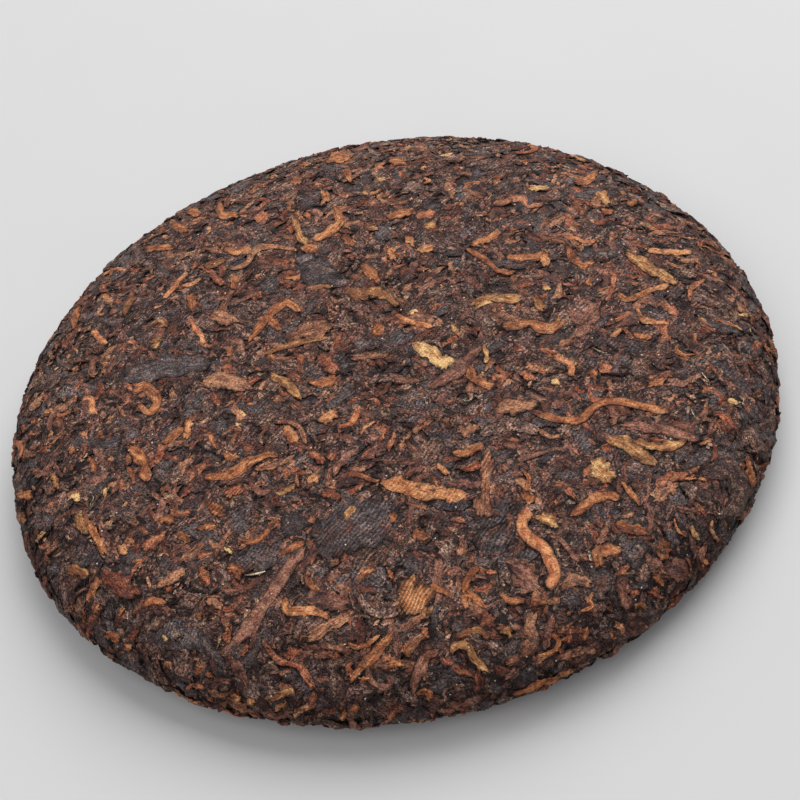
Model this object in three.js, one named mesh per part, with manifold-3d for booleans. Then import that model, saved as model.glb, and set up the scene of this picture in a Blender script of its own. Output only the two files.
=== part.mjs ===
// A pressed round cake of dark fermented tea: a low domed disc with a rounded rim and a flat underside that has
// the shallow dimple left by the knot of the pressing cloth. Its surface is a felt of flattened tea leaves.
// Millimetres, +Z up. The origin is the middle of the underside.
import * as THREE from "three";
import { mergeVertices } from "three/addons/utils/BufferGeometryUtils.js";
import Module from "manifold-3d";

// Driving dimensions of the pressed body, without its leaf relief
const cakeRadius = 54.4;
const cakeHeight = 15.6;
const bellyHeight = 5; // the widest line lies this far above the underside
const shoulderSquareness = 3.6; // 2 would be a plain ellipse seen from the side
const domeFlatness = 2.2;
const flatRadius = 46; // the cake rests on the ring between the dimple and this radius
const dimpleRadius = 12;
const dimpleDepth = 2.6;
const rimWave = 0.35; // how far the hand-pressed rim wanders in and out

// How finely the body is cut
const roundSteps = 60;
const domeSteps = 8;
const lowerEdgeSteps = 3;
const dimpleSteps = 4;
const fineDomeSteps = 160; // of the outline that places are measured along
const fineEdgeSteps = 40;

// The leaves that show
const leafBuried = 1.1; // how far each leaf reaches down into the body
const leafClearance = 0.3; // no corner of a leaf comes nearer the plane that the cake rests on
const reachBelowRim = 4; // how far below the widest line leaves still lie, over the surface
const leafLift = { low: 0.2, high: 0.6 };
const rimLiftGain = 0.35; // leaves stand further out round the rim, where the cloth presses less
const leafSteps = 3;
const stemSteps = 5;
const leafTipShare = 0.45; // width of a leaf's end against its middle
const leafTopShare = 0.74; // width of a leaf's upper side against its foot
const lyingLeaves = 118;
const longestLeaf = 12.5;
const shortestLeaf = 5.5;
const leafWidth = { narrow: 1.4, broad: 3.6 };
const seed = 357;

const weldDistance = 1e-4;
const teaBrown = 0x634940;
const quarterTurn = Math.PI / 2;
const evenSteps = [0.7548776662, 0.569840291]; // powers of the plastic ratio, which spread points evenly over a square

// The broad stems and leaves that stand out in the face, each by its two ends (millimetres right of and behind the
// middle, measured over the surface), its sideways bow and its width
const boldLeaves = [
  { from: [12, -34], to: [15, -46], bow: 1.6, width: 1.6 }, // bright stem with a double bend
  { from: [-13, -32], to: [-25, -45], bow: 0.5, width: 1.6 }, // long plum strip
  { from: [-15, -41], to: [-8, -42], bow: -0.8, width: 1.2 },
  { from: [-5, -41], to: [-11, -46], bow: 0.3, width: 1.3 },
  { from: [0, -44], to: [-5, -52], bow: -0.3, width: 1.5 }, // straw stem at the front
  { from: [-18, -44], to: [-10, -51], bow: 1.0, width: 1.1 },
  { from: [-5, -38], to: [2, -42], bow: -1.8, width: 1.2 },
  { from: [3, -17], to: [9, -25], bow: -0.4, width: 2.0 }, // broad straw leaf with the cloth's mark
  { from: [15, -17], to: [37, -13], bow: 1.8, width: 1.3 }, // longest runner, right of the middle
  { from: [30, -19], to: [43, -22], bow: 0.7, width: 1.9 },
  { from: [28, -22], to: [35, -26], bow: 0.2, width: 1.8 },
  { from: [-23, -17], to: [-11, -12], bow: -0.9, width: 1.3 },
  { from: [37, 9], to: [44, 2], bow: -0.2, width: 1.4 }, // pale stem near the right shoulder
  { from: [4, -4], to: [10, -8], bow: 0.3, width: 1.9 }, // palest leaf
  { from: [17, 1], to: [27, 1], bow: -0.8, width: 1.4 },
  { from: [41, -31], to: [47, -36], bow: 1.6, width: 2.4 }, // rolled dark leaf on the right shoulder
];

// A repeatable draw between 0 and 1
function makeDraw(start) {
  let state = start;
  return () => {
    state = (state + 0x6d2b79f5) | 0;
    let t = Math.imul(state ^ (state >>> 15), 1 | state);
    t = (t + Math.imul(t ^ (t >>> 7), 61 | t)) ^ t;
    return ((t ^ (t >>> 14)) >>> 0) / 4294967296;
  };
}

// The outside of the cake in section, from the middle of the face over the rim to the edge of the flat underside
function faceOutline(steps, edgeSteps) {
  const points = [];
  for (let i = 0; i <= steps; i++) {
    const turn = (i / steps) * quarterTurn;
    const radius = cakeRadius * Math.sin(turn) ** (2 / shoulderSquareness);
    const rise = (cakeHeight - bellyHeight) * Math.max(Math.cos(turn), 0) ** (2 / domeFlatness);
    points.push(new THREE.Vector2(radius, bellyHeight + rise));
  }
  for (let i = 1; i <= edgeSteps; i++) {
    const turn = quarterTurn * (1 - i / edgeSteps);
    const radius = flatRadius + (cakeRadius - flatRadius) * Math.sin(turn);
    points.push(new THREE.Vector2(radius, bellyHeight * (1 - Math.cos(turn))));
  }
  return points;
}

// The underside in section, from the middle of the dimple out to its lip
function dimpleOutline() {
  const points = [];
  for (let i = 0; i <= dimpleSteps; i++) {
    const share = i / dimpleSteps;
    points.push(new THREE.Vector2(dimpleRadius * share, dimpleDepth * Math.cos(share * quarterTurn) ** 2));
  }
  return points;
}

// How far the rim stands out or in at an angle round the cake
function rimWander(angle) {
  return rimWave * (0.5 * Math.sin(2 * angle + 0.6) + 0.3 * Math.sin(5 * angle + 2.1) + 0.2 * Math.sin(9 * angle));
}

// A place on the cake's outside, reached by going over the surface from the middle of the face
const fineOutline = faceOutline(fineDomeSteps, fineEdgeSteps);
const reach = [0];
for (let i = 1; i < fineOutline.length; i++) reach.push(reach[i - 1] + fineOutline[i].distanceTo(fineOutline[i - 1]));
const widestReach = reach[fineDomeSteps];

function onCake(right, behind, lift) {
  const distance = Math.min(Math.hypot(right, behind), reach[reach.length - 1]);
  const angle = Math.atan2(behind, right);
  let i = 1;
  while (i < reach.length - 1 && reach[i] < distance) i++;
  const share = (distance - reach[i - 1]) / (reach[i] - reach[i - 1]);
  const spot = fineOutline[i - 1].clone().lerp(fineOutline[i], share);
  const along = fineOutline[i].clone().sub(fineOutline[i - 1]).normalize();
  const radius = spot.x - along.y * lift + rimWander(angle) * (spot.x / cakeRadius);
  const height = spot.y + along.x * lift;
  return new THREE.Vector3(radius * Math.cos(angle), radius * Math.sin(angle), Math.max(height, leafClearance));
}

// The pressed body: its section turned about the upright axis, with the rim wandering a little
function bodyGeometry() {
  const section = [...dimpleOutline(), ...faceOutline(domeSteps, lowerEdgeSteps).reverse()];
  section[section.length - 1].x = 0;
  const geometry = new THREE.LatheGeometry(section, roundSteps).rotateX(quarterTurn);
  const position = geometry.getAttribute("position");
  for (let i = 0; i < position.count; i++) {
    const radius = Math.hypot(position.getX(i), position.getY(i));
    const angle = Math.atan2(position.getY(i), position.getX(i));
    const grown = 1 + rimWander(angle) / cakeRadius;
    position.setX(i, radius * grown * Math.cos(angle));
    position.setY(i, radius * grown * Math.sin(angle));
  }
  return geometry;
}

// One flattened leaf laid on the surface along a centre line, as a closed strip with bevelled sides and narrow ends.
// line gives the points of its centre line over the surface, and tilt raises one side above the other.
function leafGeometry(line, width, lift, tilt) {
  const corners = [];
  line.forEach((point, i) => {
    const before = line[Math.max(i - 1, 0)];
    const after = line[Math.min(i + 1, line.length - 1)];
    const side = new THREE.Vector2(before.y - after.y, after.x - before.x).normalize();
    const share = i / (line.length - 1);
    const fullness = leafTipShare + (1 - leafTipShare) * Math.sin(Math.PI * share) ** 0.5;
    const half = (width / 2) * fullness;
    const top = half * leafTopShare;
    const crest = lift * (0.7 + 0.3 * Math.sin(Math.PI * share));
    corners.push(
      onCake(point.x - side.x * half, point.y - side.y * half, -leafBuried),
      onCake(point.x + side.x * half, point.y + side.y * half, -leafBuried),
      onCake(point.x + side.x * top, point.y + side.y * top, crest + tilt),
      onCake(point.x - side.x * top, point.y - side.y * top, crest - tilt),
    );
  });
  const faces = [];
  const quad = (a, b, c, d) => faces.push(a, b, c, a, c, d);
  for (let i = 0; i < line.length - 1; i++) {
    for (let k = 0; k < 4; k++) {
      const next = (k + 1) % 4;
      quad(4 * i + k, 4 * i + next, 4 * i + 4 + next, 4 * i + 4 + k);
    }
  }
  const end = 4 * (line.length - 1);
  quad(3, 2, 1, 0);
  quad(end, end + 1, end + 2, end + 3);
  const geometry = new THREE.BufferGeometry().setFromPoints(corners);
  geometry.setIndex(faces);
  return geometry;
}

// The centre line of a leaf between two ends, bowed to one side, with a slight S where twist isn't 0
function bowedLine(from, to, bow, twist, steps) {
  const start = new THREE.Vector2(...from);
  const way = new THREE.Vector2(...to).sub(start);
  const side = new THREE.Vector2(-way.y, way.x).normalize();
  const line = [];
  for (let i = 0; i <= steps; i++) {
    const share = i / steps;
    const aside = bow * Math.sin(Math.PI * share) + twist * Math.sin(2 * Math.PI * share);
    line.push(start.clone().addScaledVector(way, share).addScaledVector(side, aside));
  }
  return line;
}

function boldLeafGeometries() {
  return boldLeaves.map(({ from, to, bow, width }) =>
    leafGeometry(bowedLine(from, to, bow, bow * 0.25, stemSteps), width, leafLift.high, 0),
  );
}

// The other leaves, largest first, spread evenly over face and rim, each lying its own way
function lyingLeafGeometries() {
  const draw = makeDraw(seed);
  const farthest = widestReach + reachBelowRim;
  return Array.from({ length: lyingLeaves }, (_, i) => {
    const distance = farthest * Math.sqrt((i * evenSteps[0] + 0.5) % 1);
    const angle = ((i * evenSteps[1]) % 1) * 2 * Math.PI;
    const middle = new THREE.Vector2(distance * Math.cos(angle), distance * Math.sin(angle));
    const size = 1 - i / lyingLeaves;
    const length = shortestLeaf + (longestLeaf - shortestLeaf) * size ** 1.5 * (0.7 + 0.3 * draw());
    const width = leafWidth.narrow + (leafWidth.broad - leafWidth.narrow) * draw() ** 1.6;
    const heading = draw() * 2 * Math.PI;
    const half = new THREE.Vector2(Math.cos(heading), Math.sin(heading)).multiplyScalar(length / 2);
    const nearRim = Math.max(0, (distance - 0.75 * widestReach) / (0.25 * widestReach));
    const lift = leafLift.low + (leafLift.high - leafLift.low) * draw() + rimLiftGain * nearRim * draw();
    const line = bowedLine(
      middle.clone().sub(half).toArray(),
      middle.clone().add(half).toArray(),
      (draw() - 0.5) * 0.3 * length,
      (draw() - 0.5) * 0.12 * length,
      leafSteps,
    );
    return leafGeometry(line, width, lift, (draw() - 0.5) * 0.3);
  });
}

const wasm = await Module();
wasm.setup();

// A closed geometry as a solid that can be joined and cut
function solidOf(geometry) {
  const bare = geometry.clone();
  bare.deleteAttribute("normal");
  bare.deleteAttribute("uv");
  const merged = mergeVertices(bare, weldDistance);
  const corners = merged.index.array;
  const kept = [];
  for (let i = 0; i < corners.length; i += 3) {
    const [a, b, c] = corners.slice(i, i + 3);
    if (a !== b && b !== c && c !== a) kept.push(a, b, c);
  }
  const mesh = new wasm.Mesh({
    numProp: 3,
    vertProperties: merged.getAttribute("position").array,
    triVerts: new Uint32Array(kept),
  });
  return new wasm.Manifold(mesh);
}

function geometryOf(solid) {
  const { vertProperties, triVerts } = solid.getMesh();
  const geometry = new THREE.BufferGeometry();
  geometry.setAttribute("position", new THREE.BufferAttribute(vertProperties, 3));
  geometry.setIndex(new THREE.BufferAttribute(triVerts, 1));
  return geometry;
}

// Body and leaves as one piece, moved so that the middle of its box stands over the origin
function teaCakeGeometry() {
  let cake = solidOf(bodyGeometry());
  for (const leaf of [...boldLeafGeometries(), ...lyingLeafGeometries()]) cake = cake.add(solidOf(leaf));
  const geometry = geometryOf(cake);
  geometry.computeBoundingBox();
  const { min, max } = geometry.boundingBox;
  return geometry.translate(-(min.x + max.x) / 2, -(min.y + max.y) / 2, -min.z);
}

const teaCake = new THREE.Group();
const cakeMesh = new THREE.Mesh(
  teaCakeGeometry(),
  new THREE.MeshStandardMaterial({ color: teaBrown, roughness: 0.78, metalness: 0 }),
);
cakeMesh.name = "tea_cake";
teaCake.add(cakeMesh);

export default teaCake;
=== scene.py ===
"""A pressed cake of dark fermented tea, dressed round the packed model in metres with Z up.

Thousands of leaves are laid one after another on a height map of each side of the cake, pressed level as a
mould and a cloth press them, and bent over the cake's outside. Each kind of leaf is one joined mesh.
"""

import functools
import math
from dataclasses import dataclass

import bpy
import numpy as np
from bpy.props import FloatProperty, FloatVectorProperty, IntProperty, PointerProperty
from mathutils import Matrix, Vector


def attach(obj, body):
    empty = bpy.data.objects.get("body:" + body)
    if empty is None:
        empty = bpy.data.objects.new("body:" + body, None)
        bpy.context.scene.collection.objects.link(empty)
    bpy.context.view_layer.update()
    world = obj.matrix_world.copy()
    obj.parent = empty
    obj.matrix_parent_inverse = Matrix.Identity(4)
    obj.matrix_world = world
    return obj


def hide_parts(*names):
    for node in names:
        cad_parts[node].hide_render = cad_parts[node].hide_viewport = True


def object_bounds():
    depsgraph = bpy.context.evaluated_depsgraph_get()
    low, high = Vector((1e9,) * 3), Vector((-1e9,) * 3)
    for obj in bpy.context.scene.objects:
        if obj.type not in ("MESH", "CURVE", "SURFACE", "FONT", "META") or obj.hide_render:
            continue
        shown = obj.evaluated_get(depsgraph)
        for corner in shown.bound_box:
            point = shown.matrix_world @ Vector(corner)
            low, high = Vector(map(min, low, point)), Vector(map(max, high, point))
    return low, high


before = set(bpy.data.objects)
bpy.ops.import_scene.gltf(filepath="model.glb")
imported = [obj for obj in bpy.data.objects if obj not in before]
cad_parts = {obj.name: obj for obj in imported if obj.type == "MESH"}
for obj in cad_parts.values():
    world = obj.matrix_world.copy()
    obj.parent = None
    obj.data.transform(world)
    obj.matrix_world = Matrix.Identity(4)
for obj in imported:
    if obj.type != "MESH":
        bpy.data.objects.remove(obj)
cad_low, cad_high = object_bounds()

bl_info = {
    "name": "Pressed tea cake",
    "version": (1, 0, 0),
    "blender": (4, 5, 0),
    "location": "View3D > Sidebar > Tea Cake",
    "description": "Builds a pressed cake of fermented tea from single leaves",
    "category": "Add Mesh",
}

NODE = "tea_cake"
BODY = "root"
MM = 0.001
QUARTER_TURN = math.pi / 2
FULL_TURN = 2 * math.pi

# The body under its leaves, worked out from the packed model's box
LEAF_STAND_OUT = 0.1 * MM  # how far the fused leaves widen the packed body
LEAF_STAND_UP = 0.63 * MM  # how far they raise it
cad_width = (cad_high.x - cad_low.x + cad_high.y - cad_low.y) / 2
cad_height = cad_high.z - cad_low.z

# How leaves are laid and pressed. Lengths are in millimetres
CELL = 0.15
FACE_MAP_REACH = 72.0
UNDER_MAP_REACH = 60.0
FACE_LEAF_REACH = 64.5
UNDER_LEAF_REACH = 50.0
RIM_START = 44.0
RIM_FULL = 58.0
LEVELLING_WIDTH = 2.4  # the press levels what is broader than this
SEED = 357
SAMPLES_PER_STATION = 4
SAMPLES_ACROSS = 11
LEAST_VISIBLE_SHARE = 0.09
CRUMB_WIDTH = 1.25  # kinds that are never wider count as crumbs, which fall from the loose rim
BOLD_STATIONS = 20
BOLD_ACROSS = 7
BOLD_LIFT = 0.12
BOLD_ROOM = 0.9  # clear space that loud leaves leave round a bold one
UNDER_SHARE = 0.34  # the underside's share of a kind's leaves
REST_ON_TOP = 0.45  # how far a leaf rests on the highest point under it, and not on their mean
LEAN = 0.35  # how far a leaf tilts with the ground under it
KEEL_DEPTH = 0.4  # how deep a leaf's hidden keel lies under its lowest point
CRUMPLE_CELLS = 512
CRUMPLE_SIZES = ((1, 0.8), (3, 1.0), (8, 0.8))  # sizes of crumples in cells, and their strengths
CLUMP_WAVES = 8
CLUMP_SPACING = (9, 19)  # the shortest and longest of the waves that gather leaves into clumps
CURVE_STEPS = 12  # steps of a smooth line between two of its points
TUCK_WIDTH = 10  # over what width leaves below the rim are drawn in
FULL_DEPTH = 0.7  # how far under the pressed level a place is when its painted shade is as dark as it gets
SHARP_ANGLE = math.radians(55)
EDGE_ALLOWANCE = 1.2  # how much wider a leaf is than the part that the painted shade along its edge lets show
CLOTH_TURN = math.radians(46)  # how the pressing cloth lay
EVEN_STEPS = (0.7548776662, 0.5698402910)  # powers of the plastic ratio, which spread points evenly

# The photograph's frame and the camera that was fitted to it
FRAME_PIXELS = 800
FOCAL_PIXELS = 1600
SENSOR_WIDTH = 36.0
CAMERA_ELEVATION = math.radians(46.24)
CAMERA_ROLL = math.radians(-12.19)
CAMERA_DISTANCE = 234.8
CAMERA_TARGET = np.array([1.51, 2.67, 0.0])


def screen_colour(code):
    """A colour written as a screen shows it, as the linear light that Blender's colours hold."""
    parts = [(code >> shift & 255) / 255 for shift in (16, 8, 0)]
    return tuple(part / 12.92 if part <= 0.04045 else ((part + 0.055) / 1.055) ** 2.4 for part in parts)


def solid(code):
    """The same colour with its opacity."""
    return (*screen_colour(code), 1.0)


@dataclass(frozen=True)
class LeafKind:
    """One kind of leaf. Lengths are in millimetres, and colours are dark, middle and light."""

    name: str
    told: str
    count: int
    length: tuple
    width: tuple
    thickness: float
    stations: int
    across: int
    colours: tuple
    tone: tuple = (0.5, 0.22)
    bend: float = 0.5
    ragged: float = 0.24
    blunt: float = 0.45
    tip: float = 0.35
    folds: float = 2.0
    fold_height: float = 0.05
    crumple: float = 0.05
    drift: float = 0.2
    turn: float = 0.0
    clump: float = -0.3
    roughness: float = 0.55
    streaks: float = 0.5
    grain: float = 0.22
    imprint: float = 0.0
    stain: float = 0.6
    grains: float = 0.7
    gloss: float = 0.14
    bits: float = 0.3
    roll: float = 0.7
    loud: bool = False


LEAF_KINDS = (
    LeafKind(
        "bedding_leaves", "Broad dull leaves that fill the cake between the others",
        count=640, length=(4.0, 10.0), width=(2.4, 4.8), thickness=0.08, stations=9, across=5,
        colours=(0x33221F, 0x6B493F, 0x8F6A5C), bend=0.3, ragged=0.22, blunt=0.3, crumple=0.07, turn=-0.3,
        roughness=0.55, imprint=1.0, bits=0.9, clump=0.3, roll=1.2,
    ),
    LeafKind(
        "charcoal_flakes", "Broad blue-black flakes that lie flat and take the cloth's mark",
        count=560, length=(3.0, 8.5), width=(1.6, 3.6), thickness=0.07, stations=12, across=6,
        colours=(0x251D1C, 0x463C3B, 0x665B5A), bend=0.3, blunt=0.34, folds=1.5, fold_height=0.02,
        roughness=0.45, streaks=0.3, imprint=1.5, gloss=0.22,
        bits=0.45, clump=0.25, roll=2.0,
    ),
    LeafKind(
        "umber_flakes", "Flat flakes of grey-brown leaf",
        count=840, length=(2.5, 7.5), width=(1.3, 3.0), thickness=0.08, stations=11, across=5,
        colours=(0x3A2A22, 0x6F5346, 0x967666), bend=0.4, blunt=0.36, turn=0.04, roughness=0.5,
        imprint=1.1, bits=0.6, clump=0.35, roll=2.0,
    ),
    LeafKind(
        "plum_strips", "Long dark red-brown leaves, folded along their length",
        count=480, length=(3.5, 9.0), width=(0.9, 1.9), thickness=0.12, stations=13, across=5,
        colours=(0x341F1B, 0x6E4538, 0x966853), folds=2.4, fold_height=0.05, imprint=0.5,
        grains=0.4, bits=0.15, roll=2.2,
    ),
    LeafKind(
        "brown_strips", "Folded leaves of a middle brown",
        count=600, length=(2.5, 7.5), width=(0.8, 1.8), thickness=0.12, stations=12, across=5,
        colours=(0x371F18, 0x7A4D38, 0xAA7858), folds=2.2, fold_height=0.05, imprint=0.5,
        grains=0.4, bits=0.15, roll=2.2,
    ),
    LeafKind(
        "red_bits", "Short red-brown scraps of leaf",
        count=610, length=(1.8, 5.5), width=(0.8, 1.8), thickness=0.1, stations=9, across=5,
        colours=(0x431E14, 0x84462E, 0xAE7050), imprint=0.3, grains=0.45, bits=0.2,
        roll=1.6,
    ),
    LeafKind(
        "orange_strips", "Tan and orange tips and twisted strips",
        count=235, length=(1.8, 5.5), width=(0.7, 1.6), thickness=0.12, stations=10, across=5,
        colours=(0x6A3A24, 0xA2643D, 0xC28A5E), bend=0.8, drift=0.24, imprint=0.3, stain=0.4, grains=0.22,
        bits=0.06, roll=1.6, loud=True,
    ),
    LeafKind(
        "straw_bits", "Pale golden buds and straw-coloured scraps",
        count=105, length=(1.5, 4.5), width=(0.6, 1.4), thickness=0.13, stations=8, across=5,
        colours=(0x74482E, 0xAE7C4E, 0xCFA872), bend=0.7, imprint=0.4, stain=0.35, grains=0.22, bits=0.06,
        roll=1.6, loud=True,
    ),
    LeafKind(
        "stems", "Smooth round stems",
        count=80, length=(4.0, 9.0), width=(0.7, 1.3), thickness=0.26, stations=12, across=6,
        colours=(0x5E2E1C, 0x9C5A38, 0xC88A5E), bend=0.6, ragged=0.06, blunt=0.22, tip=0.6, folds=0.0,
        fold_height=0.0, crumple=0.02, roughness=0.5, streaks=0.2, stain=0.3, grains=0.2, bits=0.0, loud=True,
    ),
    LeafKind(
        "crumbs", "Crumbs of leaf of every colour in the gaps",
        count=3200, length=(0.6, 2.2), width=(0.4, 1.1), thickness=0.1, stations=4, across=3,
        colours=(0x261C1B, 0x6C5043, 0xB08A6C), tone=(0.38, 0.26), folds=0.0, fold_height=0.0,
        turn=0.15, clump=0.0,
    ),
    LeafKind(
        "orange_crumbs", "Small bright crumbs of leaf tips",
        count=600, length=(0.6, 2.6), width=(0.4, 1.2), thickness=0.1, stations=5, across=3,
        colours=(0x683C2A, 0x9A6444, 0xBA8860), tone=(0.45, 0.28), folds=0.0, fold_height=0.0,
        turn=0.2, clump=0.0, stain=0.4, grains=0.3, bits=0.0, loud=True,
    ),
    LeafKind(
        "fibres", "Pale threads torn from the leaves",
        count=140, length=(1.5, 4.5), width=(0.12, 0.22), thickness=0.1, stations=7, across=3,
        colours=(0x86735F, 0xAC9C82, 0xC8B99C), bend=1.2, ragged=0.05, folds=0.0, fold_height=0.0,
        crumple=0.0, turn=0.3, loud=True,
    ),
)
KINDS = {kind.name: kind for kind in LEAF_KINDS}


@dataclass(frozen=True)
class BoldLeaf:
    """A leaf that stands out in the photograph: its width and middle line there in pixels, and its looks."""

    wide: float
    tone: float
    pixels: tuple
    imprint: float = 0.3
    tip: float = 0.45
    drift: float = 0.1


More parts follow.
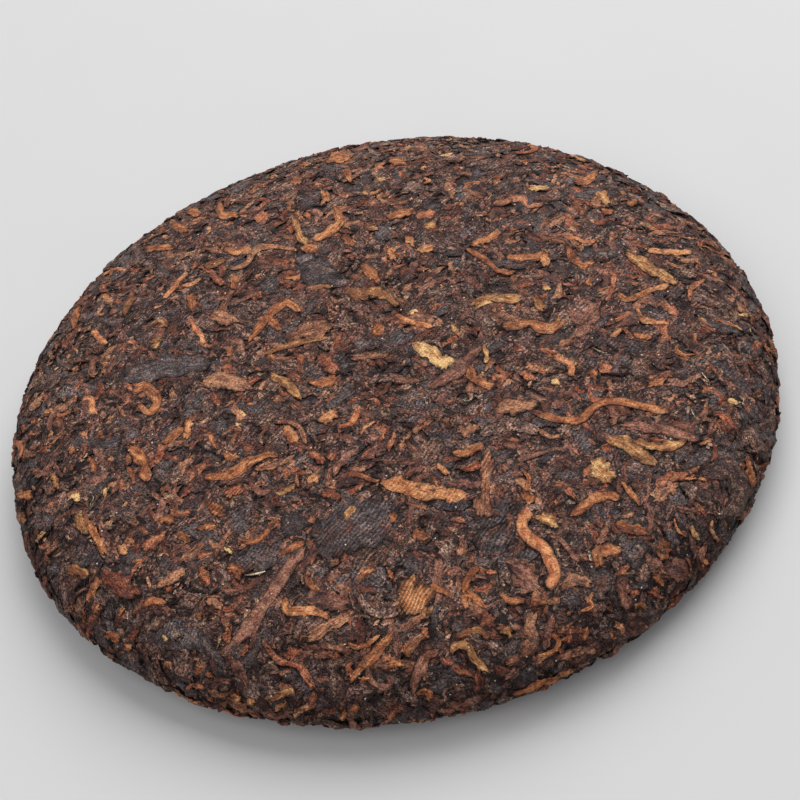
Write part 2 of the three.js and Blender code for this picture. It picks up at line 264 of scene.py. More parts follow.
# Each bold leaf by its name: width, tone, middle line, and its imprint, tip and drift if not the usual ones
BOLD_LEAVES = {
    "charcoal_flakes": {
        "broad imprinted flake": (38, 0.52, ((316, 546), (345, 533), (375, 521), (396, 511)), 2.6),
        "near smooth flake": (22, 0.15, ((281, 532), (293, 528), (306, 527)), 0.4),
        "long imprinted flake": (22, 0.6, ((234, 561), (262, 556), (290, 551), (306, 545)), 3.0),
        "dark wedge": (6, 0.35, ((463, 464), (475, 461), (482, 458))),
        "dark strip": (7, 0.4, ((433, 505), (450, 507), (470, 504)), 1.5),
        "dark imprinted strip": (9, 0.45, ((468, 528), (485, 524), (505, 519)), 2.5),
        "mottled flake": (20, 0.55, ((475, 546), (495, 541), (516, 535)), 1.2),
        "flake over the stem": (16, 0.5, ((500, 497), (503, 505), (507, 514)), 1.0),
        "right shoulder flake": (14, 0.5, ((687, 463), (700, 460), (713, 451))),
        "standing dark leaf": (11, 0.5, ((667, 522), (671, 535), (677, 548))),
        "right front flake": (24, 0.45, ((614, 545), (630, 551), (646, 557)), 1.0),
        "left dark leaf": (8, 0.55, ((103, 447), (113, 443), (122, 440))),
        "blue-grey lens": (20, 0.85, ((166, 624), (184, 634), (201, 643)), 1.6),
        "front smooth flake": (14, 0.45, ((243, 663), (251, 658), (259, 653))),
        "front charcoal flake": (18, 0.6, ((560, 604), (569, 600), (579, 597))),
        "standing charcoal leaf": (16, 0.6, ((590, 565), (600, 578), (600, 601))),
        "charcoal chip": (12, 0.5, ((451, 622), (463, 629))),
        "dark front strip": (8, 0.5, ((201, 632), (210, 649), (225, 664))),
        "left smooth patch": (16, 0.7, ((123, 378), (169, 367), (211, 363))),
        "far pale flake": (8, 1.0, ((296, 263), (313, 256))),
        "far dark round flake": (24, 0.5, ((303, 271), (320, 273), (338, 276))),
        "middle grey flake": (7, 0.7, ((327, 409), (354, 390))),
        "far blue-grey fleck": (9, 0.95, ((591, 322), (608, 318))),
    },
    "umber_flakes": {
        "grey-brown hook": (8, 0.8, ((356, 586), (361, 601), (373, 613), (387, 615), (403, 608))),
        "grey torn leaf": (14, 0.95, ((440, 539), (446, 548), (451, 559)), 1.0),
        "veined grey leaf": (12, 0.95, ((483, 433), (505, 427), (525, 428), (538, 434)), 1.0),
        "olive thin leaf": (5, 0.95, ((520, 513), (530, 509), (541, 507))),
        "veined right leaf": (15, 0.65, ((683, 490), (697, 495), (715, 503)), 0.0),
        "rolled shoulder leaf": (19, 0.3, ((698, 475), (722, 468), (736, 476), (739, 496), (727, 519)), 0.0),
        "broad right leaf": (20, 0.8, ((738, 434), (752, 441), (758, 458)), 0.6),
        "short grey leaf": (6, 0.9, ((706, 448), (713, 444))),
        "olive front flake": (12, 0.5, ((264, 664), (271, 667), (279, 669))),
        "small olive flake": (9, 0.6, ((612, 566), (624, 568))),
        "far veined leaf": (15, 0.95, ((550, 331), (561, 321), (572, 311), (586, 304)), 1.5),
    },
    "plum_strips": {
        "long plum leaf": (
            11.5, 0.85,
            ((305, 547), (284, 575), (262, 610), (248, 629), (229, 652)),
            0.2, 0.7,
        ),
        "plum flake": (14, 0.4, ((308, 600), (329, 603), (350, 606))),
        "dark stick": (5, 0.3, ((219, 484), (238, 481), (256, 479))),
        "rising plum strip": (7, 0.8, ((333, 475), (340, 465), (350, 456), (358, 452))),
        "speckled stick": (4, 0.7, ((519, 462), (540, 455), (560, 449))),
        "front plum strip": (10, 0.85, ((439, 652), (425, 660), (411, 691))),
        "plum flat leaf": (26, 0.75, ((594, 302), (583, 314), (575, 330)), 0.5),
        "plum diagonal": (10, 0.7, ((431, 388), (459, 370), (479, 347)), 0.5),
        "small plum flake": (9, 0.8, ((561, 448), (570, 449), (577, 455))),
        "thin curved strip": (5, 0.8, ((550, 537), (560, 541), (570, 552), (580, 563))),
        "right brown leaf": (9, 0.75, ((622, 425), (650, 428), (675, 433), (699, 441)), 0.2),
        "plum wedge": (8, 0.8, ((600, 545), (607, 530), (612, 522))),
        "smooth flake by the stem": (24, 0.6, ((511, 567), (527, 577), (541, 586)), 0.0),
        "plum lens": (10, 0.45, ((230, 659), (240, 671), (246, 684))),
        "falling plum strip": (8, 0.6, ((553, 616), (548, 634), (546, 649))),
        "low plum strip": (6, 0.55, ((504, 678), (515, 670), (527, 662))),
        "rolled rim leaf": (18, 0.35, ((666, 574), (680, 573), (693, 578))),
        "rolled corner leaf": (22, 0.3, ((624, 620), (634, 630), (647, 620))),
        "standing plum strip": (12, 0.5, ((625, 577), (624, 592), (628, 609))),
        "slanting plum strip": (8, 0.65, ((645, 555), (655, 563), (667, 574))),
        "far red-plum leaf": (9, 0.8, ((577, 326), (587, 315), (597, 303))),
    },
    "brown_strips": {
        "front brown strip": (10, 0.75, ((354, 611), (326, 627), (308, 638))),
        "arch round the orange leaf": (5, 0.65, ((277, 423), (292, 423), (302, 432), (306, 445))),
        "under the runner": (5, 0.8, ((255, 470), (270, 468), (285, 462), (295, 457))),
        "pink thin strip": (4, 1.0, ((352, 472), (360, 470), (368, 468))),
        "two-tone strip": (
            10, 0.7,
            ((535, 611), (529, 626), (533, 640), (521, 657), (508, 664)),
            0.2, 0.5, -0.3,
        ),
        "imprinted brown leaf": (10, 0.6, ((491, 456), (486, 475), (485, 495), (490, 516)), 1.5, 0.7),
        "its short neighbour": (8, 0.5, ((478, 496), (479, 506), (480, 516)), 1.5, 0.7),
        "brown stub": (7, 0.8, ((463, 437), (472, 431), (479, 428))),
        "bulging right leaf": (12, 0.75, ((657, 500), (666, 492), (679, 488))),
        "pink edge": (4, 1.0, ((622, 519), (636, 515))),
        "brown strip under the tile": (8, 0.85, ((400, 631), (411, 625), (429, 612))),
        "right lower strip": (7, 0.6, ((554, 660), (572, 652), (594, 648))),
        "brown leaf at the rim": (8, 0.6, ((557, 629), (577, 631))),
        "mottled tan leaf": (10, 0.8, ((561, 588), (576, 581), (591, 586))),
        "brown corner flake": (9, 0.6, ((531, 661), (545, 658))),
        "front rim strip": (6, 0.5, ((226, 698), (238, 704), (249, 712))),
        "second rim strip": (6, 0.8, ((294, 713), (303, 709), (311, 704))),
        "line on the shoulder": (3, 1.0, ((713, 521), (713, 533), (718, 542))),
        "thin tan leaf": (4.5, 0.95, ((281, 676), (286, 672), (292, 671))),
        "pink-brown band": (9, 0.85, ((159, 584), (173, 578), (185, 571))),
        "brown crescent": (6, 0.75, ((616, 621), (621, 631))),
        "left tan bits": (7, 0.9, ((207, 599), (216, 603), (223, 609))),
        "middle brown strip": (7, 0.6, ((321, 646), (338, 649), (353, 654))),
        "golden-brown strip": (13, 0.95, ((497, 409), (515, 407), (537, 408)), 0.3),
        "upper left brown strip": (12, 0.8, ((211, 315), (235, 323))),
        "upper brown flake": (14, 0.5, ((285, 340), (331, 325))),
        "middle brown bit": (7, 0.7, ((352, 359), (388, 355))),
        "left brown arch": (14, 0.9, ((202, 382), (227, 380), (250, 392))),
        "far olive arch": (5, 0.85, ((231, 270), (246, 264), (256, 250), (274, 247), (297, 250))),
    },
    "red_bits": {
        "red strip": (6.5, 0.7, ((262, 639), (279, 660), (301, 669), (315, 688))),
        "red flake by the runner": (7, 0.8, ((283, 468), (286, 473), (289, 478))),
        "left red flake": (9, 0.75, ((226, 497), (234, 491), (243, 487)), 1.0),
        "slanting red strip": (7, 0.6, ((311, 452), (318, 458), (325, 463))),
        "middle red strip": (8, 0.6, ((322, 495), (332, 494), (341, 500))),
        "upright red strip": (5, 0.8, ((388, 451), (392, 443), (396, 434))),
        "red crumb": (6, 0.8, ((268, 527), (274, 525), (280, 523))),
        "bright red chip": (5, 0.95, ((452, 520), (458, 521), (465, 523))),
        "red wedge": (8, 0.6, ((463, 471), (473, 467), (481, 464))),
        "sparkling red flake": (10, 0.8, ((657, 487), (672, 479), (689, 477))),
        "front red strip": (9, 0.55, ((441, 658), (470, 677))),
        "low red flake": (9, 0.45, ((476, 672), (479, 682), (476, 692))),
        "front red leaf": (7, 0.6, ((230, 629), (228, 637), (229, 644))),
        "red end of the plum leaf": (5, 0.8, ((242, 656), (245, 650), (249, 644))),
        "tan blob": (12, 0.7, ((286, 651), (293, 653), (300, 657))),
        "reddish low strip": (6, 0.75, ((315, 656), (327, 655), (340, 658))),
        "red chip by the flake": (4, 0.8, ((486, 573), (497, 573))),
        "dull red flake": (14, 0.45, ((479, 624), (496, 621))),
        "small red strip": (6, 0.6, ((423, 628), (428, 639))),
        "rim red flake": (9, 0.55, ((649, 590), (661, 595))),
        "thin ring": (3, 0.8, ((686, 559), (690, 565), (689, 572))),
        "red strip at the left": (8, 0.6, ((202, 567), (205, 577), (208, 586))),
        "pink bits": (8, 0.95, ((96, 609), (104, 604))),
        "left low red bit": (7, 0.5, ((140, 626), (136, 632), (132, 639))),
        "left mauve flake": (10, 0.9, ((144, 549), (155, 541), (168, 534))),
        "rim ring": (4, 0.8, ((53, 549), (50, 556), (54, 563))),
        "reddish flake": (19, 0.35, ((105, 571), (120, 582), (138, 595)), 0.0),
        "far square chip": (12, 0.8, ((256, 214), (262, 218), (268, 222))),
        "far red stick": (7, 0.75, ((211, 275), (225, 286))),
        "middle red flake": (12, 0.6, ((319, 355), (338, 373))),
        "far red bit": (9, 0.8, ((281, 278), (292, 288))),
        "far red strip": (6, 0.9, ((494, 206), (520, 199), (529, 206), (543, 206))),
        "far broad red bit": (9, 0.95, ((415, 216), (435, 216))),
        "right red curve": (5, 0.9, ((688, 302), (690, 290), (697, 284), (704, 282))),
        "upright red curve": (5, 0.9, ((605, 302), (611, 291), (613, 277), (608, 273))),
        "right red-brown flake": (7, 0.9, ((658, 302), (668, 308), (678, 315))),
        "small red flake": (8, 0.9, ((599, 368), (612, 370))),
        "red chip": (7, 0.85, ((522, 373), (536, 381))),
        "right red chip": (7, 0.9, ((659, 342), (670, 338))),
    },
    "orange_strips": {
        "tan tile": (28, 0.72, ((401, 595), (415, 600), (432, 605)), 2.2, 0.98, 0),
        "bright hook": (7, 0.6, ((286, 597), (287, 611), (307, 611), (329, 617))),
        "front golden strip": (9, 0.35, ((392, 636), (373, 655), (350, 683))),
        "left curl": (9, 0.5, ((133, 394), (146, 388), (158, 401), (150, 413), (140, 404))),
        "upper tan strip": (9, 0.45, ((502, 327), (527, 324), (550, 330), (563, 317))),
        "long runner": (8, 0.35, ((533, 411), (553, 419), (579, 422), (596, 408), (619, 402), (670, 412))),
        "right orange strip": (9, 0.35, ((570, 515), (583, 509), (598, 499), (612, 497), (621, 501))),
        "orange hook": (11, 0.4, ((600, 568), (600, 556), (610, 551), (622, 554))),
        "lower rim strip": (9, 0.4, ((511, 692), (538, 686), (557, 677), (575, 671))),
        "left runner": (9, 0.5, ((208, 476), (230, 476), (247, 464), (265, 456), (279, 456))),
        "left golden strip": (11, 0.4, ((131, 446), (140, 455), (146, 467), (147, 481))),
        "its thin neighbour": (5, 0.25, ((129, 466), (134, 475), (136, 484))),
        "left orange stick": (7, 0.5, ((91, 521), (99, 537), (108, 553))),
        "lower left strip": (6.5, 0.4, ((103, 573), (97, 585), (91, 600))),
        "middle golden bit": (10, 0.7, ((319, 423), (337, 413))),
        "ring, right side": (8, 0.6, ((334, 207), (339, 225), (314, 240))),
        "far hook": (7, 0.5, ((219, 202), (222, 215), (237, 215))),
        "far left strip": (6, 0.4, ((79, 307), (74, 330))),
        "far tan strip": (6, 0.4, ((145, 250), (173, 248))),
        "slanting strip": (7, 0.3, ((248, 342), (265, 321), (285, 303), (300, 313))),
        "imprinted golden leaf": (14, 0.7, ((385, 479), (406, 487), (432, 493), (462, 498)), 0.5, 0.75),
        "middle gold strip": (8, 0.55, ((453, 455), (467, 453), (483, 446))),
        "orange diagonal": (9, 0.4, ((469, 368), (476, 381), (494, 388))),
        "orange leaf in the arch": (9, 0.5, ((284, 428), (290, 434), (297, 442))),
        "rust chip": (11, 0.3, ((211, 503), (217, 510), (224, 512)), 1.0),
        "tan triangle": (6, 0.7, ((308, 483), (313, 479), (319, 482))),
        "red-orange runner": (5, 0.25, ((349, 475), (362, 477), (379, 483))),
        "thin tan line": (3, 0.6, ((360, 435), (367, 427), (376, 422))),
        "bent orange line": (5, 0.2, ((243, 543), (255, 542), (263, 537), (269, 530))),
        "strip above the plum leaf": (7, 0.3, ((277, 558), (290, 550), (305, 543))),
        "small orange square": (7, 0.3, ((392, 514), (393, 519), (394, 525))),
        "edge of the left side": (6, 0.3, ((200, 529), (216, 526))),
        "orange scrap": (6, 0.4, ((225, 452), (232, 457), (240, 459))),
        "bent scrap": (4, 0.4, ((211, 435), (214, 442), (217, 448))),
        "light chip": (6, 0.8, ((437, 465), (443, 470), (448, 475))),
        "comma": (8, 0.3, ((522, 492), (528, 499), (535, 501))),
        "thin bow": (4, 0.4, ((525, 473), (529, 480), (527, 492))),
        "flecked scrap": (9, 0.2, ((413, 532), (420, 537), (427, 537))),
        "right bow": (4, 0.3, ((714, 443), (716, 455), (711, 463))),
        "right slanting strip": (5.5, 0.35, ((623, 483), (632, 494), (642, 507))),
        "bright edge": (4, 0.6, ((686, 481), (697, 479), (707, 482))),
        "right rim strip": (6, 0.4, ((745, 458), (750, 472), (753, 488))),
        "right lower leaf": (9, 0.25, ((617, 526), (630, 530), (648, 533))),
        "right thin bow": (3, 0.5, ((675, 520), (678, 531), (688, 538))),
        "left upper scrap": (6, 0.4, ((89, 458), (94, 463), (96, 472))),
        "left chip": (7, 0.3, ((70, 452), (77, 450))),
        "left rim chip": (9, 0.5, ((21, 496), (28, 495), (34, 493))),
        "left rim edge": (7, 0.6, ((22, 509), (25, 523))),
        "left gold bit": (8, 0.4, ((161, 521), (169, 518), (174, 523))),
        "left thin strip": (5, 0.3, ((198, 530), (208, 527), (216, 525))),
        "left small scrap": (6, 0.3, ((179, 532), (185, 538), (190, 541))),
        "tan fork": (6, 0.3, ((163, 444), (175, 437), (185, 430))),
        "tan fork, right side": (8, 0.7, ((190, 419), (190, 430), (187, 439))),
        "bead over the hook": (6.5, 0.4, ((307, 576), (311, 585), (318, 591))),
        "bent red-orange line": (4.5, 0.35, ((376, 570), (364, 575), (359, 581))),
        "short right line": (4, 0.35, ((389, 571), (393, 580))),
        "rust flake": (11, 0.15, ((229, 569), (237, 570), (242, 577))),
        "left rust line": (4, 0.3, ((200, 571), (208, 573))),
        "wavy orange strip": (5, 0.4, ((348, 644), (358, 648), (369, 644), (379, 636))),
        "orange crumb": (9, 0.55, ((389, 666), (395, 664), (401, 667))),
        "low rim scrap": (7, 0.2, ((352, 710), (359, 704))),
        "rim tip": (4, 0.7, ((343, 719), (345, 711))),
        "rim bead": (6, 0.7, ((276, 709), (282, 705), (287, 701))),
        "left rim bead": (6, 0.65, ((247, 700), (255, 702))),
        "second rim bead": (5, 0.5, ((232, 694), (242, 698))),
        "small low line": (4, 0.5, ((359, 679), (370, 679))),
        "fork, long side": (7.5, 0.25, ((479, 568), (469, 579), (466, 592), (476, 600), (484, 609))),
        "fork, short side": (6, 0.25, ((466, 593), (465, 601), (467, 609))),
        "scrap by the tile": (6, 0.25, ((430, 588), (442, 591), (455, 596))),
        "branch": (6, 0.35, ((501, 595), (510, 601), (525, 602))),
        "cap of the two-tone strip": (8, 0.4, ((529, 605), (536, 602), (543, 605))),
        "orange crescent": (6, 0.5, ((552, 633), (558, 642), (553, 652), (538, 655))),
        "orange rim chip": (9, 0.4, ((586, 628), (581, 639))),
        "folded edge": (3.5, 0.55, ((593, 593), (589, 601), (591, 607), (581, 612))),
        "low orange hook": (7, 0.3, ((418, 695), (426, 691), (433, 702))),
        "low orange line": (5, 0.4, ((405, 646), (410, 658))),
        "orange plate": (11, 0.3, ((667, 541), (665, 551), (667, 560))),
        "rim orange bit": (4, 0.5, ((701, 560), (707, 564))),
        "olive-orange leaf": (7, 0.2, ((652, 577), (659, 580), (664, 587))),
        "right low bit": (5, 0.35, ((609, 632), (617, 637))),
        "orange bar": (7, 0.3, ((145, 604), (155, 601), (167, 604))),
        "chip over the bar": (5, 0.35, ((166, 591), (174, 587))),
        "left rim lens": (7, 0.15, ((109, 632), (117, 636), (122, 640))),
        "left rim chip, low": (6, 0.35, ((126, 645), (135, 646))),
        "upright thin bit": (3, 0.8, ((149, 576), (151, 587))),
        "thin slanting bit": (3, 0.5, ((122, 615), (126, 607))),
        "rim scrap": (5, 0.3, ((195, 669), (204, 672))),
        "second rim scrap": (5, 0.2, ((207, 674), (214, 675))),
        "far left bit": (9, 0.35, ((191, 294), (192, 311))),
        "far orange bit": (8, 0.2, ((233, 290), (236, 275))),
        "bit under the slanting strip": (8, 0.25, ((269, 319), (281, 330))),
        "bright far flake": (9, 0.35, ((361, 267), (371, 274), (380, 284))),
        "upper orange flake": (10, 0.3, ((373, 334), (383, 326))),
        "middle orange bit": (8, 0.4, ((311, 385), (340, 382))),
        "far long strip": (6, 0.6, ((224, 250), (237, 253), (251, 249))),
        "rim straw bit": (7, 0.35, ((187, 212), (201, 214))),
        "left rim orange bit": (8, 0.3, ((172, 225), (187, 230))),
        "far chip": (6, 0.2, ((342, 236), (354, 246))),
        "far red-orange chip": (8, 0.55, ((324, 191), (328, 202))),
        "far upright chip": (7, 0.35, ((347, 169), (349, 182))),
        "far tan bit": (7, 0.5, ((291, 182), (303, 180))),
        "far rim flake": (9, 0.5, ((328, 159), (353, 155))),
        "second far rim flake": (7, 0.4, ((388, 161), (407, 164))),
        "far slanting chip": (7, 0.5, ((386, 218), (413, 212))),
        "far blob": (8, 0.5, ((302, 246), (317, 250))),
        "far reddish chip": (7, 0.7, ((406, 237), (414, 245))),
        "second reddish chip": (7, 0.7, ((419, 252), (433, 248))),
        "third reddish chip": (7, 0.7, ((390, 250), (394, 261))),
        "far right slanting leaf": (8, 0.35, ((575, 184), (586, 181), (597, 175))),
        "far right chip": (6, 0.2, ((601, 211), (613, 214))),
        "second far right chip": (5, 0.5, ((626, 204), (638, 203))),
        "far pink strip": (6, 0.55, ((472, 245), (486, 240), (501, 232))),
        "far orange stick": (5.5, 0.3, ((467, 249), (485, 260), (500, 273), (515, 273))),
        "far crossed strip": (7, 0.4, ((506, 258), (526, 259), (540, 256), (547, 254))),
        "its end": (7, 0.6, ((545, 253), (545, 268))),
        "far bent strip": (7, 0.3, ((569, 247), (571, 258), (579, 265), (592, 266))),
        "far pink stick": (6, 0.85, ((646, 252), (667, 253), (690, 254))),
        "right loop, lower side": (6, 0.6, ((618, 295), (629, 301), (645, 293), (668, 287))),
        "right bright hook": (5, 0.6, ((636, 309), (642, 320), (651, 323), (667, 324))),
        "right tan bit": (5, 0.4, ((634, 336), (651, 339))),
        "right orange bit": (7, 0.35, ((647, 386), (656, 384), (665, 379))),
        "right chip": (7, 0.3, ((590, 370), (597, 379))),
        "rim chip": (6, 0.3, ((701, 227), (706, 233))),
        "upper left stick": (4, 0.5, ((285, 279), (301, 278))),
    },
    "straw_bits": {
        "palest leaf": (12, 0.85, ((415, 344), (428, 351), (441, 363), (451, 365))),
        "right pale strip": (9, 0.4, ((624, 253), (645, 266), (673, 284))),
        "upper pale strip": (7, 0.45, ((474, 309), (492, 299), (520, 299))),
        "golden right leaf": (12, 0.3, ((612, 440), (630, 447), (648, 461), (656, 466))),
        "spotted gold leaf": (9, 0.2, ((635, 441), (655, 447), (672, 447), (687, 442)), 0.1, 0.2),
        "golden chip": (15, 0.5, ((592, 463), (602, 472), (613, 483)), 0.2, 0.8, 0.04),
        "front pale curl": (9, 0.3, ((452, 654), (456, 648), (466, 648), (474, 658), (488, 673))),
        "olive rim strip": (7, 0.2, ((270, 699), (282, 695), (296, 689))),
        "ring, left side": (8, 0.3, ((293, 217), (301, 238), (309, 243))),
        "pale torn scrap": (6, 0.3, ((345, 520), (350, 512), (356, 508))),
        "crumbly gold flake": (11, 0.3, ((538, 517), (547, 520), (558, 525))),
        "gold line": (4, 0.3, ((700, 446), (713, 441))),
        "upright gold bit": (5, 0.6, ((693, 527), (694, 534), (700, 540))),
        "left gold scrap": (6, 0.3, ((54, 474), (57, 482), (58, 489))),
        "white speck": (7, 1.1, ((75, 495), (78, 497), (82, 499))),
        "white line": (3, 1.1, ((224, 548), (229, 551), (233, 555))),
        "olive scrap": (10, 0.1, ((77, 516), (84, 522), (86, 532))),
        "dull pale arch": (6, 0.1, ((457, 638), (466, 633), (479, 631), (489, 639))),
        "tan box": (9, 0.15, ((507, 626), (507, 637))),
        "olive bits": (10, -0.1, ((71, 573), (81, 569), (91, 575))),
        "olive chip": (5, -0.1, ((201, 611), (199, 620))),
        "gold bit at the rim": (5, 0.1, ((633, 608), (640, 605), (647, 609))),
        "small gold speck": (3, 0.8, ((165, 636), (169, 641))),
        "tan fleck": (4, 0.1, ((567, 616), (571, 611))),
        "far straw bit": (10, 0.3, ((152, 345), (161, 343))),
        "far olive strip": (8, -0.1, ((123, 315), (135, 294))),
        "thin straw strip": (5, 0.1, ((267, 355), (285, 347), (327, 338))),
        "bent straw strip": (7, 0.1, ((361, 290), (381, 294), (398, 307))),
        "olive neighbour": (8, -0.15, ((348, 290), (367, 300))),
        "middle bent straw": (8, 0.2, ((271, 376), (288, 384), (302, 398))),
        "far slanting straw": (5, 0.05, ((204, 268), (226, 261))),
        "far right straw bit": (5, 0.75, ((528, 189), (548, 189))),
        "far right straw blob": (9, 0.4, ((597, 194), (603, 199), (609, 205))),
        "right olive stem": (7, 0.3, ((624, 254), (636, 263), (652, 273), (675, 284))),
        "torn straw strip": (5.5, 0.25, ((470, 307), (481, 300), (497, 299), (511, 302), (520, 300))),
        "far straw crumb": (4, 0.8, ((541, 289), (550, 289))),
        "grey straw chip": (8, 0.1, ((533, 297), (543, 311))),
        "straw curl": (5, 0.4, ((483, 347), (487, 354), (486, 364))),
        "straw chip": (6, 0.9, ((552, 382), (560, 383))),
        "far pale bit": (6, 0.3, ((424, 229), (437, 224))),
        "far olive bit": (4, 0.05, ((365, 229), (378, 229))),
        "far thin straw": (4, 0.2, ((308, 289), (331, 287))),
        "left thin straw": (4, 0.3, ((451, 325), (459, 336))),
    },
    "stems": {
        "double bend stem": (
            11, 0.72,
            ((530, 512), (523, 520), (522, 529), (531, 540), (545, 550), (550, 562), (555, 575), (547, 588)),
            0.0, 0.8,
        ),
    },
    "fibres": {
        "pale thread": (1.6, 0.9, ((245, 576), (255, 575), (266, 572))),
        "small thread": (2.2, 0.9, ((589, 552), (591, 562))),
        "pale loop": (1.8, 0.8, ((446, 544), (447, 549), (448, 554))),
    },
}

# Colours of the scraps that are pressed into a leaf's skin, each from where its share of them starts
BIT_COLOURS = (
    (0, 0x2E2323),
    (0.12, 0x463430),
    (0.28, 0x544241),
    (0.44, 0x664F49),
    (0.6, 0x73503F),
    (0.7, 0x7A6055),
    (0.84, 0x8E6450),
    (0.91, 0x887066),
    (0.96, 0xA58268),
)


def distance(name, description, default):
    """A property that holds a length."""
    return FloatProperty(
        name=name, description=description, default=default, min=0.0, subtype="DISTANCE", unit="LENGTH"
    )


def colour(name, description, default):
    """A property that holds a colour."""
    return FloatVectorProperty(
        name=name, description=description, default=default, subtype="COLOR", size=3, min=0.0, max=1.0
    )


def power(name, description, default):
    """A property that holds a lamp's power."""
    return FloatProperty(name=name, description=description, default=default, min=0.0, subtype="POWER")


def kind_settings(kind):
    """A property group that holds the sizes and colours of one kind of leaf."""
    fields = {
        "count": IntProperty(name="Count", description="Leaves on the face", default=kind.count, min=0),
        "shortest": distance("Shortest", "Length of the shortest leaf", kind.length[0] * MM),
        "longest": distance("Longest", "Length of the longest leaf", kind.length[1] * MM),
        "narrowest": distance("Narrowest", "Width of the narrowest leaf", kind.width[0] * MM),
        "broadest": distance("Broadest", "Width of the broadest leaf", kind.width[1] * MM),
        "thickness": distance("Thickness", "Height of a leaf over what it lies on", kind.thickness * MM),
        "dark": colour("Dark", "The darkest leaves and their streaks", screen_colour(kind.colours[0])),
        "middle": colour("Middle", "The most common colour", screen_colour(kind.colours[1])),
        "light": colour("Light", "The lightest leaves and their streaks", screen_colour(kind.colours[2])),
    }
    title = "".join(word.capitalize() for word in kind.name.split("_")) + "Settings"
    return type(title, (bpy.types.PropertyGroup,), {"__doc__": kind.told, "__annotations__": fields})


KIND_SETTINGS = {kind.name: kind_settings(kind) for kind in LEAF_KINDS}


class CakeSettings(bpy.types.PropertyGroup):
    """The pressed body that the leaves lie on."""

    radius: distance("Radius", "From the middle to the widest line", cad_width / 2 - LEAF_STAND_OUT)
    height: distance("Height", "From the underside to the middle of the face", cad_height - LEAF_STAND_UP)
    belly: distance("Belly", "Height of the widest line over the underside", 5 * MM)
    flat_radius: distance("Flat radius", "Where the underside starts to curve up", 46 * MM)
    dimple_radius: distance("Dimple radius", "Radius of the dimple left by the cloth's knot", 12 * MM)
    dimple_depth: distance("Dimple depth", "Depth of that dimple", 2.6 * MM)
    rim_wave: distance("Rim wave", "How far the rim wanders in and out", 0.35 * MM)
    shoulder: FloatProperty(name="Shoulder", description="Its squareness, 2 for an ellipse", default=3.6)
    dome: FloatProperty(name="Dome", description="Its flatness, 2 for an ellipse", default=2.2)
    core_colour: colour("Core", "Dust between the leaves", screen_colour(0x382B28))


class StageSettings(bpy.types.PropertyGroup):
    """The plain stage round the cake."""

    floor_size: distance("Floor size", "Side of the pale floor", 6.0)
    floor_colour: colour("Floor", "Colour of the floor", (0.4, 0.4, 0.398))
    lamp_size: distance("Lamp size", "Side of each lamp", 0.9)
    lamp_power: power("Lamp power", "Power of the overhead lamp", 12.6)
    fill_power: power("Fill power", "Power of the front lamp", 4.6)
    sky_strength: FloatProperty(name="Sky", description="Strength of the light from all round", default=0.54)


class TeaCakeSettings(bpy.types.PropertyGroup):
    """All that a user would change."""

    cake: PointerProperty(type=CakeSettings)
    stage: PointerProperty(type=StageSettings)


for kind_name, group in KIND_SETTINGS.items():
    TeaCakeSettings.__annotations__[kind_name] = PointerProperty(type=group)


# The outside of the cake

# The waves of the hand-pressed rim: share of the whole, number round the cake and start
RIM_WAVES = (
    (0.5, 2, 0.6),
    (0.3, 5, 2.1),
    (0.2, 9, 0.0),
)


class Outline:
    """One side of the cake in section, from its middle outwards, facing up for 1 and down for -1."""

    def __init__(self, cake, radius, height, facing):
        self.radius, self.height, self.facing = radius, height, facing
        self.cake_radius = cake.radius / MM
        self.wave = cake.rim_wave / MM
        self.reach = np.concatenate([[0], np.cumsum(np.hypot(np.diff(radius), np.diff(height)))])
        out, up = np.gradient(radius, self.reach), np.gradient(height, self.reach)
        size = np.hypot(out, up)
        self.normal_out, self.normal_up = -facing * up / size, facing * out / size

    def true_width(self, reach):
        """How wide a step round the cake really is, against the same step on the flat map."""
        near = np.maximum(reach, 1.0)
        return np.interp(near, self.reach, self.radius) / near

    def place(self, spots, lift):
        """Points at some height over the surface, from their places on the flat map."""
        reach = np.hypot(spots[..., 0], spots[..., 1])
        angle = np.arctan2(spots[..., 1], spots[..., 0]) * self.facing
        radius = np.interp(reach, self.reach, self.radius)
        out = radius + np.interp(reach, self.reach, self.normal_out) * lift
        out = out + rim_wander(angle, self.wave) * radius / self.cake_radius
        rise = np.interp(reach, self.reach, self.normal_up) * lift
        height = np.interp(reach, self.reach, self.height) + rise
        return np.stack([out * np.cos(angle), out * np.sin(angle), np.maximum(height, 0.0)], axis=-1)


def rim_wander(angle, wave):
    """How far the hand-pressed rim stands out at an angle round the cake."""
    return wave * sum(share * np.sin(number * angle + start) for share, number, start in RIM_WAVES)


